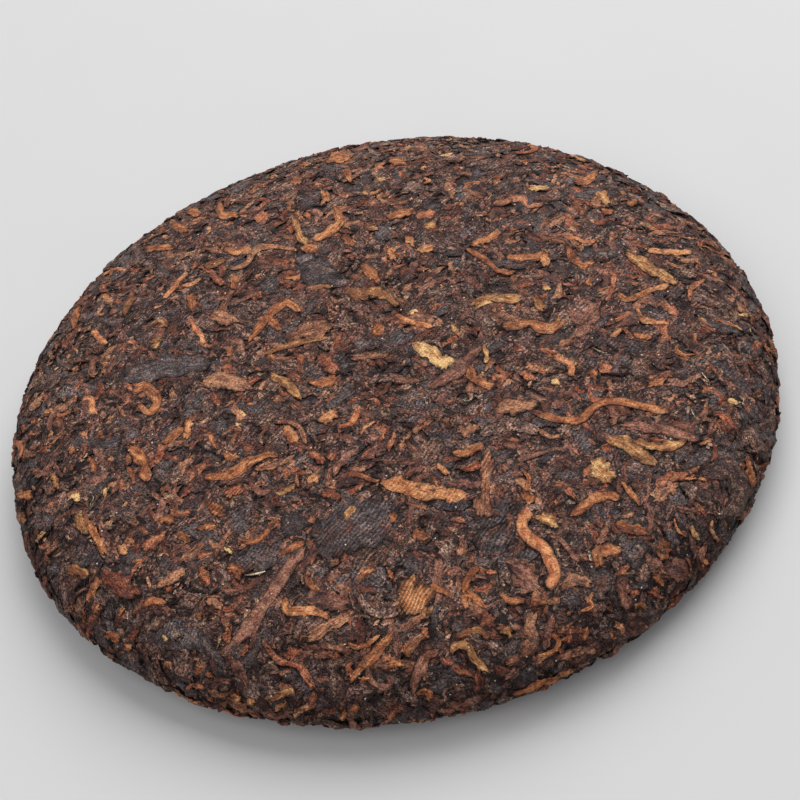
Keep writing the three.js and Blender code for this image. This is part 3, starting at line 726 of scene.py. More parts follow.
def cake_sections(cake):
    """The face with its rim, and the underside with its dimple, as radii and heights from the middle out.

    Each side's line runs on round the rim and over part of the other side, so that leaves can bend over it.
    """
    dome_steps, edge_steps, flat_steps = 240, 60, 50
    shared_flat, shared_dome = 20, 100
    radius, height, belly = cake.radius / MM, cake.height / MM, cake.belly / MM
    flat = cake.flat_radius / MM
    turn = np.linspace(0, QUARTER_TURN, dome_steps)
    dome_radius = radius * np.sin(turn) ** (2 / cake.shoulder)
    dome_height = belly + (height - belly) * np.cos(turn) ** (2 / cake.dome)
    dome_height[-1] = belly
    turn = np.linspace(QUARTER_TURN, 0, edge_steps)
    edge_radius = flat + (radius - flat) * np.sin(turn)
    edge_height = belly * (1 - np.cos(turn))
    inner = np.linspace(flat, cake.dimple_radius / MM, flat_steps)
    share = np.linspace(1, 0, flat_steps)
    dimple_radius = cake.dimple_radius / MM * share
    dimple_height = cake.dimple_depth / MM * np.cos(share * QUARTER_TURN) ** 2
    face = (
        np.concatenate([dome_radius, edge_radius[1:], inner[1:shared_flat]]),
        np.concatenate([dome_height, edge_height[1:], np.zeros(shared_flat - 1)]),
    )
    outwards = slice(None, None, -1)
    rising_radius, rising_height = dome_radius[outwards][1:shared_dome], dome_height[outwards][1:shared_dome]
    rim_radius, rim_height = edge_radius[outwards][1:], edge_height[outwards][1:]
    under = (
        np.concatenate([dimple_radius[outwards], inner[outwards][1:], rim_radius, rising_radius]),
        np.concatenate([dimple_height[outwards], np.zeros(flat_steps - 1), rim_height, rising_height]),
    )
    return face, under


# Places in the photograph


def camera_axes():
    """Where the camera stands, in millimetres, and its right, up and backward directions."""
    back = np.array([0, -math.cos(CAMERA_ELEVATION), math.sin(CAMERA_ELEVATION)])
    level = np.array([1.0, 0, 0])
    up = np.cross(back, level)
    right = math.cos(CAMERA_ROLL) * level + math.sin(CAMERA_ROLL) * up
    above = -math.sin(CAMERA_ROLL) * level + math.cos(CAMERA_ROLL) * up
    return CAMERA_TARGET + back * CAMERA_DISTANCE, right, above, back


def spots_seen_at(pixels, cake, outline):
    """The places on the face's flat map that pixels of the photograph show."""
    start, right, above, back = camera_axes()
    off = (np.asarray(pixels, float) - FRAME_PIXELS / 2) / FOCAL_PIXELS
    ray = off[..., :1] * right - off[..., 1:] * above - back
    ray /= np.linalg.norm(ray, axis=-1, keepdims=True)
    radius, height, belly = cake.radius / MM, cake.height / MM, cake.belly / MM
    outside = (height + 1 - start[2]) / ray[..., 2]
    inside = (belly + 0.2 - start[2]) / ray[..., 2]
    for _ in range(30):
        middle = (outside + inside) / 2
        point = start + ray * middle[..., None]
        fullness = (np.hypot(point[..., 0], point[..., 1]) / radius) ** cake.shoulder
        fullness = fullness + np.maximum((point[..., 2] - belly) / (height - belly), 0) ** cake.dome
        outside = np.where(fullness > 1, middle, outside)
        inside = np.where(fullness > 1, inside, middle)
    angle = np.arctan2(point[..., 1], point[..., 0])
    face = slice(0, int(np.argmax(outline.radius)) + 1)
    reach = np.interp(np.hypot(point[..., 0], point[..., 1]), outline.radius[face], outline.reach[face])
    return np.stack([reach * np.cos(angle), reach * np.sin(angle)], axis=-1)


# Leaves on the flat map


@dataclass
class Leaves:
    """Leaves of one kind on a flat map: places and own heights of their grid points, and their looks."""

    kind: LeafKind
    spots: np.ndarray
    own: np.ndarray
    tone: np.ndarray
    drift: np.ndarray
    length: np.ndarray
    width: np.ndarray
    turn: np.ndarray
    imprint: np.ndarray
    ground: np.ndarray = None
    share: np.ndarray = None


def smoothed(rows, times=1):
    """Rows of numbers with each one nearer to its neighbours."""
    for _ in range(times):
        padded = np.concatenate([rows[:, :1], rows, rows[:, -1:]], axis=1)
        rows = (padded[:, :-2] + 2 * padded[:, 1:-1] + padded[:, 2:]) / 4
    return rows


@functools.cache
def crumpled_ground():
    """A map of crumples that repeats, in cells, from which each leaf takes its own patch."""
    draws = np.random.default_rng([SEED, 55])
    total = np.zeros((CRUMPLE_CELLS, CRUMPLE_CELLS))
    for half, strength in CRUMPLE_SIZES:
        noise = draws.normal(0, 1, (CRUMPLE_CELLS, CRUMPLE_CELLS))
        noise = np.fft.ifft2(np.fft.fft2(noise) * np.exp(-((wave_numbers() * half) ** 2) * 0.5)).real
        total += strength * noise / noise.std()
    return (0.4 - np.abs(total / total.std())) / 0.6


def wave_numbers():
    """How fast each part of the repeating map of crumples changes, in radians for each cell."""
    line = np.fft.fftfreq(CRUMPLE_CELLS) * FULL_TURN
    return np.hypot(line[:, None], line[None, :])


def clumping(spots):
    """A slowly changing field, about -1 to 1, that gathers like leaves into clumps."""
    draws = np.random.default_rng([SEED, 56])
    total = 0
    for _ in range(CLUMP_WAVES):
        way = draws.uniform(0, FULL_TURN)
        pace = FULL_TURN / draws.uniform(*CLUMP_SPACING)
        along = spots[..., 0] * np.cos(way) + spots[..., 1] * np.sin(way)
        total = total + np.sin(pace * along + draws.uniform(0, 6))
    return total / 2


def rim_share(spots):
    """How far a place lies on the rim, from 0 on the face to 1 low on the rim."""
    share = np.clip((np.linalg.norm(spots, axis=-1) - RIM_START) / (RIM_FULL - RIM_START), 0, 1)
    return share * share * (3 - 2 * share)


def own_heights(kind, spots, thickness, along, across, draws):
    """How leaves stand over what they lie on: a low crown, folds that wind along them, and crumples."""
    count = len(spots)
    v, t = across[None, None, :], along[None, :, None]
    crown = 1 - np.abs(v) ** 4
    taper = 0.6 + 0.4 * np.sin(math.pi * np.clip(t, 0.03, 0.97)) ** 0.5
    thick = thickness * draws.uniform(0.7, 1.35, count)[:, None, None]
    phase = draws.uniform(0, FULL_TURN, count)[:, None, None]
    twist = draws.normal(0, 3.5, count)[:, None, None]
    fold = kind.fold_height * draws.uniform(0.4, 1.5, count)[:, None, None]
    winding = 0.6 - 1.2 * np.abs(np.sin(kind.folds * QUARTER_TURN * v + twist * t + phase))
    patch = ((spots + draws.uniform(80, 160, (count, 1, 1, 2))) / CELL).astype(int) % CRUMPLE_CELLS
    crumples = kind.crumple * crumpled_ground()[patch[..., 0], patch[..., 1]]
    coarse = 1 + kind.roll * rim_share(spots)
    return (thick * taper * (0.4 + 0.6 * crown) + fold * winding + crumples) * coarse


def torn_edges(half, ragged, across, draws):
    """Half widths of leaves at each grid point, with both edges torn on their own."""
    edges = []
    for _ in range(2):
        waves = smoothed(draws.normal(0, 1, half.shape), 2) * ragged * 2.0
        nicks = draws.normal(0, 1, half.shape) * ragged * 0.4
        edges.append(half * np.clip(1 + waves + nicks, 0.2, 1.8))
    return np.where(across[None, None, :] < 0, edges[0][:, :, None], edges[1][:, :, None])


def torn_tips(width, ragged, along, across, draws):
    """How far the grid points near each end are pulled along the leaf, so that it ends slanted or torn."""
    ends = np.stack([np.clip(1 - along * 4, 0, 1), np.clip(along * 4 - 3, 0, 1)])
    pulls = draws.normal(0, 0.9 * ragged, (len(width), 2, len(across)))
    slants = draws.normal(0, 1.6 * ragged, (len(width), 2, 1)) * across
    return np.einsum("es,nea->nsa", ends, pulls + slants) * width[:, None, None]


def drawn_leaves(kind, settings, share, outline, farthest, draws):
    """The leaves of one kind, spread evenly over a flat map with their own bends, torn edges and tips."""
    count = int(settings.count * share)
    number = np.arange(count)
    jitter = draws.normal(0, 0.015, (count, 2))
    start = draws.uniform(0, 1, 2)
    reach = farthest * np.sqrt((number * EVEN_STEPS[0] + start[0] + jitter[:, 0]) % 1)
    angle = ((number * EVEN_STEPS[1] + start[1] + jitter[:, 1]) % 1) * FULL_TURN
    middle = np.stack([reach * np.cos(angle), reach * np.sin(angle)], axis=-1)
    low, high = settings.shortest / MM, settings.longest / MM
    length = low + (high - low) * draws.beta(1.5, 3.0, count)
    low, high = settings.narrowest / MM, settings.broadest / MM
    width = low + (high - low) * draws.beta(2.0, 2.6, count)
    length = np.maximum(length, width * 1.1)
    along, across = np.linspace(0, 1, kind.stations), np.linspace(-1, 1, kind.across)

    rim = np.clip((reach - RIM_START) / (RIM_FULL - RIM_START), 0, 1)
    if kind.width[1] < CRUMB_WIDTH:
        reach = np.where(rim > 0, RIM_START + (reach - RIM_START) * draws.beta(1.0, 1.5, count), reach)
        middle = np.stack([reach * np.cos(angle), reach * np.sin(angle)], axis=-1)
    heading = draws.uniform(0, FULL_TURN, count)
    round_rim = angle + QUARTER_TURN + draws.normal(0, 0.7, count)
    heading = np.where(draws.uniform(0, 1, count) < 0.3 * rim, round_rim, heading)
    bend = draws.normal(0, kind.bend, count)[:, None]
    sway = draws.normal(0, kind.bend * 0.45, count)[:, None]
    kinks = smoothed(draws.normal(0, 0.35, (count, kind.stations)))
    course = heading[:, None] + bend * (2 * along - 1) + sway * np.sin(FULL_TURN * along + bend) + kinks
    step = length[:, None] / (kind.stations - 1)
    line = np.stack([np.cumsum(np.cos(course) * step, 1), np.cumsum(np.sin(course) * step, 1)], axis=-1)
    line -= line.mean(axis=1, keepdims=True)

    envelope = np.sin(math.pi * np.clip(along, 0.02, 0.98) ** draws.uniform(0.6, 1.7, count)[:, None])
    envelope = kind.tip + (1 - kind.tip) * np.abs(envelope) ** kind.blunt
    half = torn_edges(width[:, None] / 2 * envelope, kind.ragged, across, draws)
    side = np.stack([-np.sin(course), np.cos(course)], axis=-1)
    way = np.stack([np.cos(course), np.sin(course)], axis=-1)
    offset = line[:, :, None, :] + side[:, :, None, :] * (half * across)[..., None]
    offset = offset + way[:, :, None, :] * torn_tips(width, kind.ragged, along, across, draws)[..., None]

    outward = np.stack([np.cos(angle), np.sin(angle)], axis=-1)[:, None, None, :]
    round_it = np.stack([-np.sin(angle), np.cos(angle)], axis=-1)[:, None, None, :]
    radial = (offset * outward).sum(-1, keepdims=True)
    tangential = (offset * round_it).sum(-1, keepdims=True)
    offset = radial * outward + tangential * round_it / outline.true_width(reach)[:, None, None, None]

    own = own_heights(kind, middle[:, None, None, :] + offset, settings.thickness / MM, along, across, draws)
    mean, spread = kind.tone
    return Leaves(
        kind=kind,
        spots=middle[:, None, None, :] + offset,
        own=own,
        tone=np.clip(draws.normal(mean, spread, count), 0, 1),
        drift=draws.normal(0, kind.drift, count),
        length=length,
        width=width,
        turn=draws.uniform(0, 1, count) + kind.turn + kind.clump * clumping(middle),
        imprint=kind.imprint * np.clip(draws.normal(0.6, 0.5, count), 0, 1.2),
    )


def course_through(points, count):
    """Evenly spaced points on a smooth line through a few points."""
    points = np.asarray(points, float)
    padded = np.vstack([2 * points[0] - points[1], points, 2 * points[-1] - points[-2]])
    fine = []
    for i in range(len(points) - 1):
        a, b, c, d = padded[i : i + 4]
        t = np.linspace(0, 1, CURVE_STEPS, endpoint=False)[:, None]
        curve, twist = 2 * a - 5 * b + 4 * c - d, 3 * b - a - 3 * c + d
        fine.append(0.5 * (2 * b + (c - a) * t + curve * t**2 + twist * t**3))
    fine = np.vstack([*fine, points[-1:]])
    reach = np.concatenate([[0], np.cumsum(np.linalg.norm(np.diff(fine, axis=0), axis=1))])
    even = np.linspace(0, reach[-1], count)
    return np.stack([np.interp(even, reach, fine[:, axis]) for axis in (0, 1)], axis=-1)


def bold_leaves(kind, settings, cake, outline, draws):
    """The leaves of one kind that lie where the photograph shows them."""
    chosen = [BoldLeaf(*looks) for looks in BOLD_LEAVES.get(kind.name, {}).values()]
    if not chosen:
        return None
    along, across = np.linspace(0, 1, BOLD_STATIONS), np.linspace(-1, 1, BOLD_ACROSS)
    widest = EDGE_ALLOWANCE * np.array([leaf.wide for leaf in chosen])
    tip = np.array([max(leaf.tip, kind.tip) for leaf in chosen])[:, None]
    envelope = tip + (1 - tip) * np.sin(math.pi * along) ** kind.blunt
    half = torn_edges(widest[:, None] / 2 * envelope, kind.ragged * 0.7, across, draws)
    pulls = torn_tips(widest, kind.ragged * 0.5, along, across, draws)
    spots = []
    for leaf, reach, pull in zip(chosen, half, pulls):
        line = course_through(leaf.pixels, BOLD_STATIONS)
        way = np.gradient(line, axis=0)
        way /= np.linalg.norm(way, axis=1, keepdims=True)
        side = np.stack([way[:, 1], -way[:, 0]], axis=-1)
        pixels = line[:, None, :] + side[:, None, :] * (reach * across)[..., None]
        pixels = pixels + way[:, None, :] * pull[..., None]
        spots.append(spots_seen_at(pixels, cake, outline))
    spots = np.array(spots)
    steps = np.linalg.norm(np.diff(spots[:, :, BOLD_ACROSS // 2], axis=1), axis=-1)
    middle = BOLD_STATIONS // 2
    own = own_heights(kind, spots, settings.thickness / MM, along, across, draws) + BOLD_LIFT
    return Leaves(
        kind=kind,
        spots=spots,
        own=own,
        tone=np.array([leaf.tone for leaf in chosen]),
        drift=np.array([leaf.drift for leaf in chosen]),
        length=steps.sum(axis=1),
        width=np.linalg.norm(spots[:, middle, -1] - spots[:, middle, 0], axis=-1),
        turn=np.full(len(chosen), 2.0),
        imprint=np.array([leaf.imprint for leaf in chosen]),
    )


# The press


class Bed:
    """A height map that leaves are laid on one after another, with the leaf that shows in each cell."""

    def __init__(self, reach):
        self.reach = reach
        self.side = int(2 * reach / CELL)
        self.height = np.zeros(self.side * self.side)
        self.owner = np.full(self.side * self.side, -1, np.int32)

    def cells(self, spots):
        """The cell under each place."""
        steps = np.clip(((spots + self.reach) / CELL).astype(np.int64), 0, self.side - 1)
        return steps[..., 1] * self.side + steps[..., 0]

    def levelled(self, width):
        """The bed's height without anything narrower than width."""
        half = int(width / CELL / 2)
        centre = (np.arange(self.side) + 0.5) * CELL - self.reach
        covered = (np.hypot(centre[:, None], centre[None, :]) < self.reach - 5).astype(float)
        total = box_blurred(self.height.reshape(self.side, -1) * covered, half)
        return (total / np.maximum(box_blurred(covered, half), 0.05)).ravel()


def box_blurred(field, half):
    """A map after three averages over a square, which together come near a bell curve."""
    for axis in (0, 1):
        for _ in range(3):
            edges = [(half + 1, half) if a == axis else (0, 0) for a in (0, 1)]
            total = np.cumsum(np.pad(field, edges, mode="edge"), axis=axis)
            far = np.take(total, range(2 * half + 1, total.shape[axis]), axis=axis)
            near = np.take(total, range(0, total.shape[axis] - 2 * half - 1), axis=axis)
            field = (far - near) / (2 * half + 1)
    return field


def between(count, samples):
    """Weights that read values at samples even places from values at count stations."""
    places = np.linspace(0, count - 1, samples)
    low = np.minimum(places.astype(int), count - 2)
    weights = np.zeros((samples, count))
    weights[np.arange(samples), low] = 1 - (places - low)
    weights[np.arange(samples), low + 1] = places - low
    return weights


def with_room(leaves, bed, near_bold):
    """The leaves without the loud ones that would lie on or beside a bold leaf."""
    kept = ~near_bold[bed.cells(leaves.spots)].any(axis=(1, 2))
    rows = {name: value[kept] for name, value in vars(leaves).items() if isinstance(value, np.ndarray)}
    return Leaves(kind=leaves.kind, **rows)


def room_round(bed, lots):
    """The cells that lie on or close to any of these leaves."""
    covered = np.zeros(bed.side * bed.side)
    for leaves in lots:
        along, across = between(BOLD_STATIONS, 90), between(BOLD_ACROSS, 24)
        spots = np.stack([along @ leaves.spots[..., axis] @ across.T for axis in (0, 1)], axis=-1)
        covered[bed.cells(spots)] = 1
    return box_blurred(covered.reshape(bed.side, -1), round(BOLD_ROOM / CELL / 3)).ravel() > 0.01


def lay(bed, leaves_by_kind):
    """Lays every leaf on the bed in turn, and notes the ground under it and the share of it that shows."""
    order, weights = [], []
    for number, leaves in enumerate(leaves_by_kind):
        stations, across = leaves.own.shape[1:]
        weights.append((between(stations, stations * SAMPLES_PER_STATION), between(across, SAMPLES_ACROSS)))
        leaves.ground = np.zeros_like(leaves.own)
        order += [(turn, number, i) for i, turn in enumerate(leaves.turn)]
    order.sort()
    sizes = np.zeros(len(order))
    for place, (_, number, i) in enumerate(order):
        leaves = leaves_by_kind[number]
        along, across = weights[number]
        spots = np.stack([along @ leaves.spots[i, :, :, axis] @ across.T for axis in (0, 1)], axis=-1)
        cells = bed.cells(spots)
        under = bed.height[cells].reshape(-1, SAMPLES_PER_STATION, SAMPLES_ACROSS)
        base = REST_ON_TOP * under.max(axis=(1, 2)) + (1 - REST_ON_TOP) * under.mean(axis=(1, 2))
        third = SAMPLES_ACROSS // 3
        lean = under[:, :, -third:].mean(axis=(1, 2)) - under[:, :, :third].mean(axis=(1, 2))
        base, lean = smoothed(np.stack([base, lean]), 2)
        v = np.linspace(-1, 1, leaves.own.shape[2])
        ground = base[:, None] + LEAN * lean[:, None] * v
        leaves.ground[i] = ground
        top = (along @ (ground + leaves.own[i]) @ across.T).ravel()
        flat = cells.ravel()
        shows = top >= bed.height[flat]
        bed.height[flat[shows]] = top[shows]
        bed.owner[flat[shows]] = place
        sizes[place] = len(np.unique(flat))
    seen = np.bincount(bed.owner[bed.owner >= 0], minlength=len(order))
    share = seen / np.maximum(sizes, 1)
    for leaves in leaves_by_kind:
        leaves.share = np.zeros(len(leaves.tone))
    for place, (_, number, i) in enumerate(order):
        leaves_by_kind[number].share[i] = share[place]


@dataclass(frozen=True)
class Press:
    """How one side of the cake is pressed, in millimetres."""

    give: tuple  # how far leaves stand out before they are flattened, on the face and round the rim
    keep: tuple  # the share of larger differences that stays, on the face and round the rim
    cap: tuple  # the level that nothing passes
    lift: float  # the middle level over the surface of the pressed body
    tuck: float  # how far leaves that reach round below the rim are held back


FACE_PRESS = Press(give=(0.05, 0.28), keep=(0.07, 0.6), cap=(0.17, 0.62), lift=0.12, tuck=0.5)
UNDER_PRESS = Press(give=(0.05, 0.24), keep=(0.07, 0.5), cap=(0.1, 0.4), lift=-0.1, tuck=0.0)
CAP_SOFTNESS = 0.06

# The core under the leaves, in millimetres
CORE_STEPS_ROUND = 220
CORE_STEPS_OUT = 100
CORE_FACE_DEPTH = 0.16
CORE_UNDER_DEPTH = 0.4
LUMP_HEIGHT = 0.07
LUMP_CELL = 0.4
LUMP_MAP_REACH = 75
LUMP_MAP_CELLS = 400


def pressed(leaves, bed, level, press):
    """The height of each grid point over the body once pressed, and its depth under the pressed level."""
    rim = rim_share(leaves.spots)
    give, keep, cap = (pair[0] + (pair[1] - pair[0]) * rim for pair in (press.give, press.keep, press.cap))
    loose = leaves.ground - level[bed.cells(leaves.spots)]
    top = keep * loose + (1 - keep) * give * np.tanh(loose / give) + leaves.own
    top = -CAP_SOFTNESS * np.logaddexp(-top / CAP_SOFTNESS, -cap / CAP_SOFTNESS)
    below = np.clip((np.linalg.norm(leaves.spots, axis=-1) - RIM_FULL) / TUCK_WIDTH, 0, 1)
    return top + press.lift - press.tuck * below, np.clip((cap - top) / FULL_DEPTH, 0, 1)


@functools.cache
def pressed_sides():
    """Both sides of the cake with all their leaves laid and pressed."""
    settings = bpy.context.scene.tea_cake
    face_section, under_section = cake_sections(settings.cake)
    sides = []
    for side, (section, facing, map_reach, leaf_reach, press) in enumerate((
        (face_section, 1, FACE_MAP_REACH, FACE_LEAF_REACH, FACE_PRESS),
        (under_section, -1, UNDER_MAP_REACH, UNDER_LEAF_REACH, UNDER_PRESS),
    )):
        outline = Outline(settings.cake, *section, facing)
        share = 1.0 if side == 0 else UNDER_SHARE
        scattered, bold = [], []
        for number, kind in enumerate(LEAF_KINDS):
            draws = np.random.default_rng([SEED, side, number])
            own_settings = getattr(settings, kind.name)
            scattered.append(drawn_leaves(kind, own_settings, share, outline, leaf_reach, draws))
            seen = bold_leaves(kind, own_settings, settings.cake, outline, draws) if side == 0 else None
            if seen:
                bold.append(seen)
        bed = Bed(map_reach)
        near_bold = room_round(bed, bold)
        scattered = [with_room(lot, bed, near_bold) if lot.kind.loud else lot for lot in scattered]
        all_leaves = scattered + bold
        lay(bed, all_leaves)
        level = bed.levelled(LEVELLING_WIDTH)
        sides.append((outline, press, bed, level, all_leaves))
    return sides


# Meshes


def mesh_piece(name, points, quads, triangles, material, fields):
    """A mesh from arrays, in millimetres, with fields of numbers at its points that the material reads."""
    mesh = bpy.data.meshes.new(name)
    mesh.vertices.add(len(points))
    mesh.vertices.foreach_set("co", (points * MM).astype(np.float32).ravel())
    corners = np.concatenate([quads.ravel(), triangles.ravel()]).astype(np.int32)
    mesh.loops.add(len(corners))
    mesh.loops.foreach_set("vertex_index", corners)
    starts = np.concatenate([np.arange(len(quads)) * 4, len(quads) * 4 + np.arange(len(triangles)) * 3])
    mesh.polygons.add(len(starts))
    mesh.polygons.foreach_set("loop_start", starts.astype(np.int32))
    for field, values in fields.items():
        kind, slot = ("FLOAT", "value") if values.ndim == 1 else ("FLOAT_VECTOR", "vector")
        attribute = mesh.attributes.new(field, kind, "POINT")
        attribute.data.foreach_set(slot, values.astype(np.float32).ravel())
    mesh.update(calc_edges=True)
    mesh.set_sharp_from_angle(angle=SHARP_ANGLE)
    mesh.materials.append(material)
    piece = bpy.data.objects.new(name, mesh)
    bpy.context.scene.collection.objects.link(piece)
    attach(piece, BODY)
    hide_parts(NODE)
    return piece


def leaf_solids(leaves, outline, press, bed, level, draws):
    """Closed leaves as points, quads, triangles and fields: the grid of the upper side over a buried keel."""
    kind = leaves.kind
    kept = leaves.share > LEAST_VISIBLE_SHARE
    top, depth = pressed(leaves, bed, level, press)
    spots, top, depth = leaves.spots[kept], top[kept], depth[kept]
    count, stations, across = top.shape
    keel_spots = spots.mean(axis=2, keepdims=True)
    keel_lift = top.min(axis=2, keepdims=True) - KEEL_DEPTH
    ring = across + 1
    flat_spots = np.concatenate([spots, keel_spots], axis=2)
    lift = np.concatenate([top, keel_lift], axis=2)
    points = outline.place(flat_spots, lift).reshape(-1, 3)

    v = np.linspace(-1, 1, across)
    line = np.linspace(0, 1, stations)
    along = np.broadcast_to(leaves.length[kept][:, None, None] * line[None, :, None], lift.shape)
    sideways = np.broadcast_to(np.concatenate([v, [0]])[None, None, :], lift.shape)
    own_place = draws.uniform(0, 300, (count, 2))[:, None, None, :]
    place = np.stack([
        own_place[..., 0] + along,
        own_place[..., 1] + sideways * leaves.width[kept][:, None, None] / 2,
        np.broadcast_to(draws.uniform(0, 1, count)[:, None, None], lift.shape),
    ], axis=-1)
    tone = leaves.tone[kept][:, None] + leaves.drift[kept][:, None] * (2 * line - 1)
    tone = np.broadcast_to(tone[:, :, None], lift.shape)
    marked = np.broadcast_to(leaves.imprint[kept][:, None, None], lift.shape)
    # edge and deep tell the material where to paint shade: along a leaf's edges and ends, and below the
    # pressed level
    from_end = np.minimum(line, line[::-1])[None, :, None]
    near_end = 1 - from_end * (2 * leaves.length / leaves.width)[kept][:, None, None]
    edge = np.maximum(np.concatenate([np.abs(v), [1.0]])[None, None, :], np.clip(near_end, 0, 1))
    deep = np.concatenate([depth, np.ones((count, stations, 1))], axis=2)

    a = np.arange(ring)
    b = (a + 1) % ring
    rows = np.arange(stations - 1)[:, None] * ring
    quads = np.stack([rows + a, rows + ring + a, rows + ring + b, rows + b], axis=-1).reshape(-1, 4)
    fan = np.arange(1, ring - 1)
    last = (stations - 1) * ring
    start_cap = np.stack([np.zeros_like(fan), fan, fan + 1], axis=-1)
    end_cap = np.stack([np.full_like(fan, last), last + fan + 1, last + fan], axis=-1)
    triangles = np.concatenate([start_cap, end_cap])
    shift = (np.arange(count) * stations * ring)[:, None, None]
    return (
        points,
        (quads[None] + shift).reshape(-1, 4),
        (triangles[None] + shift).reshape(-1, 3),
        {
            "leaf_place": place.reshape(-1, 3),
            "leaf_tone": tone.ravel(),
            "leaf_edge": edge.ravel(),
            "leaf_depth": deep.ravel(),
            "leaf_imprint": marked.ravel(),
        },
    )


def leaf_piece(kind, material):
    """All the leaves of one kind, on both sides of the cake, as one joined mesh."""
    draws = np.random.default_rng([SEED, 7, LEAF_KINDS.index(kind)])
    lots = [
        leaf_solids(leaves, outline, press, bed, level, draws)
        for outline, press, bed, level, all_leaves in pressed_sides()
        for leaves in all_leaves
        if leaves.kind == kind
    ]
    shifts = np.cumsum([0] + [len(lot[0]) for lot in lots])
    return mesh_piece(
        kind.name,
        np.concatenate([lot[0] for lot in lots]),
        np.concatenate([lot[1] + shift for lot, shift in zip(lots, shifts)]),
        np.concatenate([lot[2] + shift for lot, shift in zip(lots, shifts)]),
        material,
        {field: np.concatenate([lot[3][field] for lot in lots]) for field in lots[0][3]},
    )


def core_piece(cake, material):
    """The body under the leaves: dust and crumbs pressed between them, as one closed lumpy mesh."""
    outline = pressed_sides()[0][0]
    under = pressed_sides()[1][0]
    widest = float(outline.reach[int(np.argmax(outline.radius))])
    under_widest = float(under.reach[int(np.argmax(under.radius))])
    face_reach = np.linspace(0, widest, CORE_STEPS_OUT)[1:]
    under_reach = np.linspace(under_widest, 0, int(CORE_STEPS_OUT * 0.8))[1:-1]
    angle = np.arange(CORE_STEPS_ROUND) / CORE_STEPS_ROUND * FULL_TURN
    draws = np.random.default_rng([SEED, 99])
    lumps = box_blurred(draws.normal(0, 1, (LUMP_MAP_CELLS, LUMP_MAP_CELLS)), 1)
    lumps = lumps / lumps.std() * LUMP_HEIGHT

    def ring_points(line, reach, depth):
        turned = angle * line.facing
        spots = np.stack([reach[:, None] * np.cos(turned), reach[:, None] * np.sin(turned)], axis=-1)
        cells = ((spots + LUMP_MAP_REACH) / LUMP_CELL).astype(int)
        return line.place(spots, lumps[cells[..., 1], cells[..., 0]] - depth)

    face_points = ring_points(outline, face_reach, CORE_FACE_DEPTH)
    under_points = ring_points(under, under_reach, CORE_UNDER_DEPTH)
    rings = np.concatenate([face_points, under_points])
    crown = outline.place(np.zeros((1, 2)), np.full(1, -CORE_FACE_DEPTH))
    base = under.place(np.zeros((1, 2)), np.full(1, -CORE_UNDER_DEPTH))
    points = np.concatenate([crown, rings.reshape(-1, 3), base])
    a = np.arange(CORE_STEPS_ROUND)
    b = (a + 1) % CORE_STEPS_ROUND
    rows = 1 + np.arange(len(rings) - 1)[:, None] * CORE_STEPS_ROUND
    next_rows = rows + CORE_STEPS_ROUND
    quads = np.stack([rows + a, next_rows + a, next_rows + b, rows + b], axis=-1).reshape(-1, 4)
    last = 1 + (len(rings) - 1) * CORE_STEPS_ROUND
    caps = np.concatenate([
        np.stack([np.zeros_like(a), 1 + a, 1 + b], axis=-1),
        np.stack([np.full_like(a, len(points) - 1), last + b, last + a], axis=-1),
    ])
    return mesh_piece("pressed_core", points, quads, caps, material, {})


# Materials

# The fineness of what runs across all the leaves, in repeats for each metre
STAIN_SCALE = 420.0
HUE_SCALE = 260.0
GRAIN_SCALE = 4000.0
PIT_SCALE = 1400.0
SPECK_SCALE = 900.0
PATCH_SCALE = 110.0
THREAD_DRIFT_SCALE = 200.0
CORE_GRIT_SCALE = 2400.0

# Their colours
# The colour that painted shade darkens towards, in crevices, pits, gaps and along leaf edges
PAINTED_SHADE_COLOUR = 0x1F1614
STAIN_COLOURS = (0x2A2427, 0x643826)
# Pale gold specks of crumb and whitish grey specks that are painted glints
SPECK_AND_GLINT_COLOURS = (0xC9A26C, 0xC4C0C4)

# The pressing cloth's threads: which way they lie, their pitch in millimetres and how strongly they print
CLOTH_THREADS = (
    (CLOTH_TURN, 0.52, 1.0),
    (CLOTH_TURN + QUARTER_TURN, 0.6, 0.25),
)


def new_group(name, inputs, outputs):
    """An empty node group with named sockets, and its input and output nodes."""
    tree = bpy.data.node_groups.new(name, "ShaderNodeTree")
    for title, kind, default in inputs:
        socket = tree.interface.new_socket(name=title, in_out="INPUT", socket_type=kind)
        if default is not None:
            socket.default_value = default
    for title, kind in outputs:
        tree.interface.new_socket(name=title, in_out="OUTPUT", socket_type=kind)
    return tree, tree.nodes.new("NodeGroupInput"), tree.nodes.new("NodeGroupOutput")


def math_node(tree, operation, first, second=None, third=None, clamp=False):
    """A math node on sockets or plain numbers, by its output."""
    node = tree.nodes.new("ShaderNodeMath")
    node.operation = operation
    node.use_clamp = clamp
    for i, value in enumerate((first, second, third)):
        if value is None:
            continue
        if isinstance(value, (int, float)):
            node.inputs[i].default_value = value
        else:
            tree.links.new(value, node.inputs[i])
    return node.outputs[0]


def new_material(name):
    """A new material, with its node tree and its surface shader."""
    material = bpy.data.materials.new(name)
    material.use_nodes = True
    return material, material.node_tree, material.node_tree.nodes["Principled BSDF"]


def add_relief(tree, surface, height, strength, distance_mm):
    """Bumps a surface by a height that changes over it."""
    bump = tree.nodes.new("ShaderNodeBump")
    bump.inputs["Strength"].default_value = strength
    bump.inputs["Distance"].default_value = distance_mm * MM
    tree.links.new(height, bump.inputs["Height"])
    tree.links.new(bump.outputs["Normal"], surface.inputs["Normal"])


def noise_node(tree, vector, scale, detail=2.0, rough=0.5):
    """A noise texture read at a vector, as its node."""
    node = tree.nodes.new("ShaderNodeTexNoise")
    node.inputs["Scale"].default_value = scale
    node.inputs["Detail"].default_value = detail
    node.inputs["Roughness"].default_value = rough
    tree.links.new(vector, node.inputs["Vector"])
    return node


def scaled_vector(tree, vector, scale):
    """A vector stretched along its axes, by its output."""
    node = tree.nodes.new("ShaderNodeVectorMath")
    node.operation = "MULTIPLY"
    node.inputs[1].default_value = scale
    tree.links.new(vector, node.inputs[0])
    return node.outputs[0]


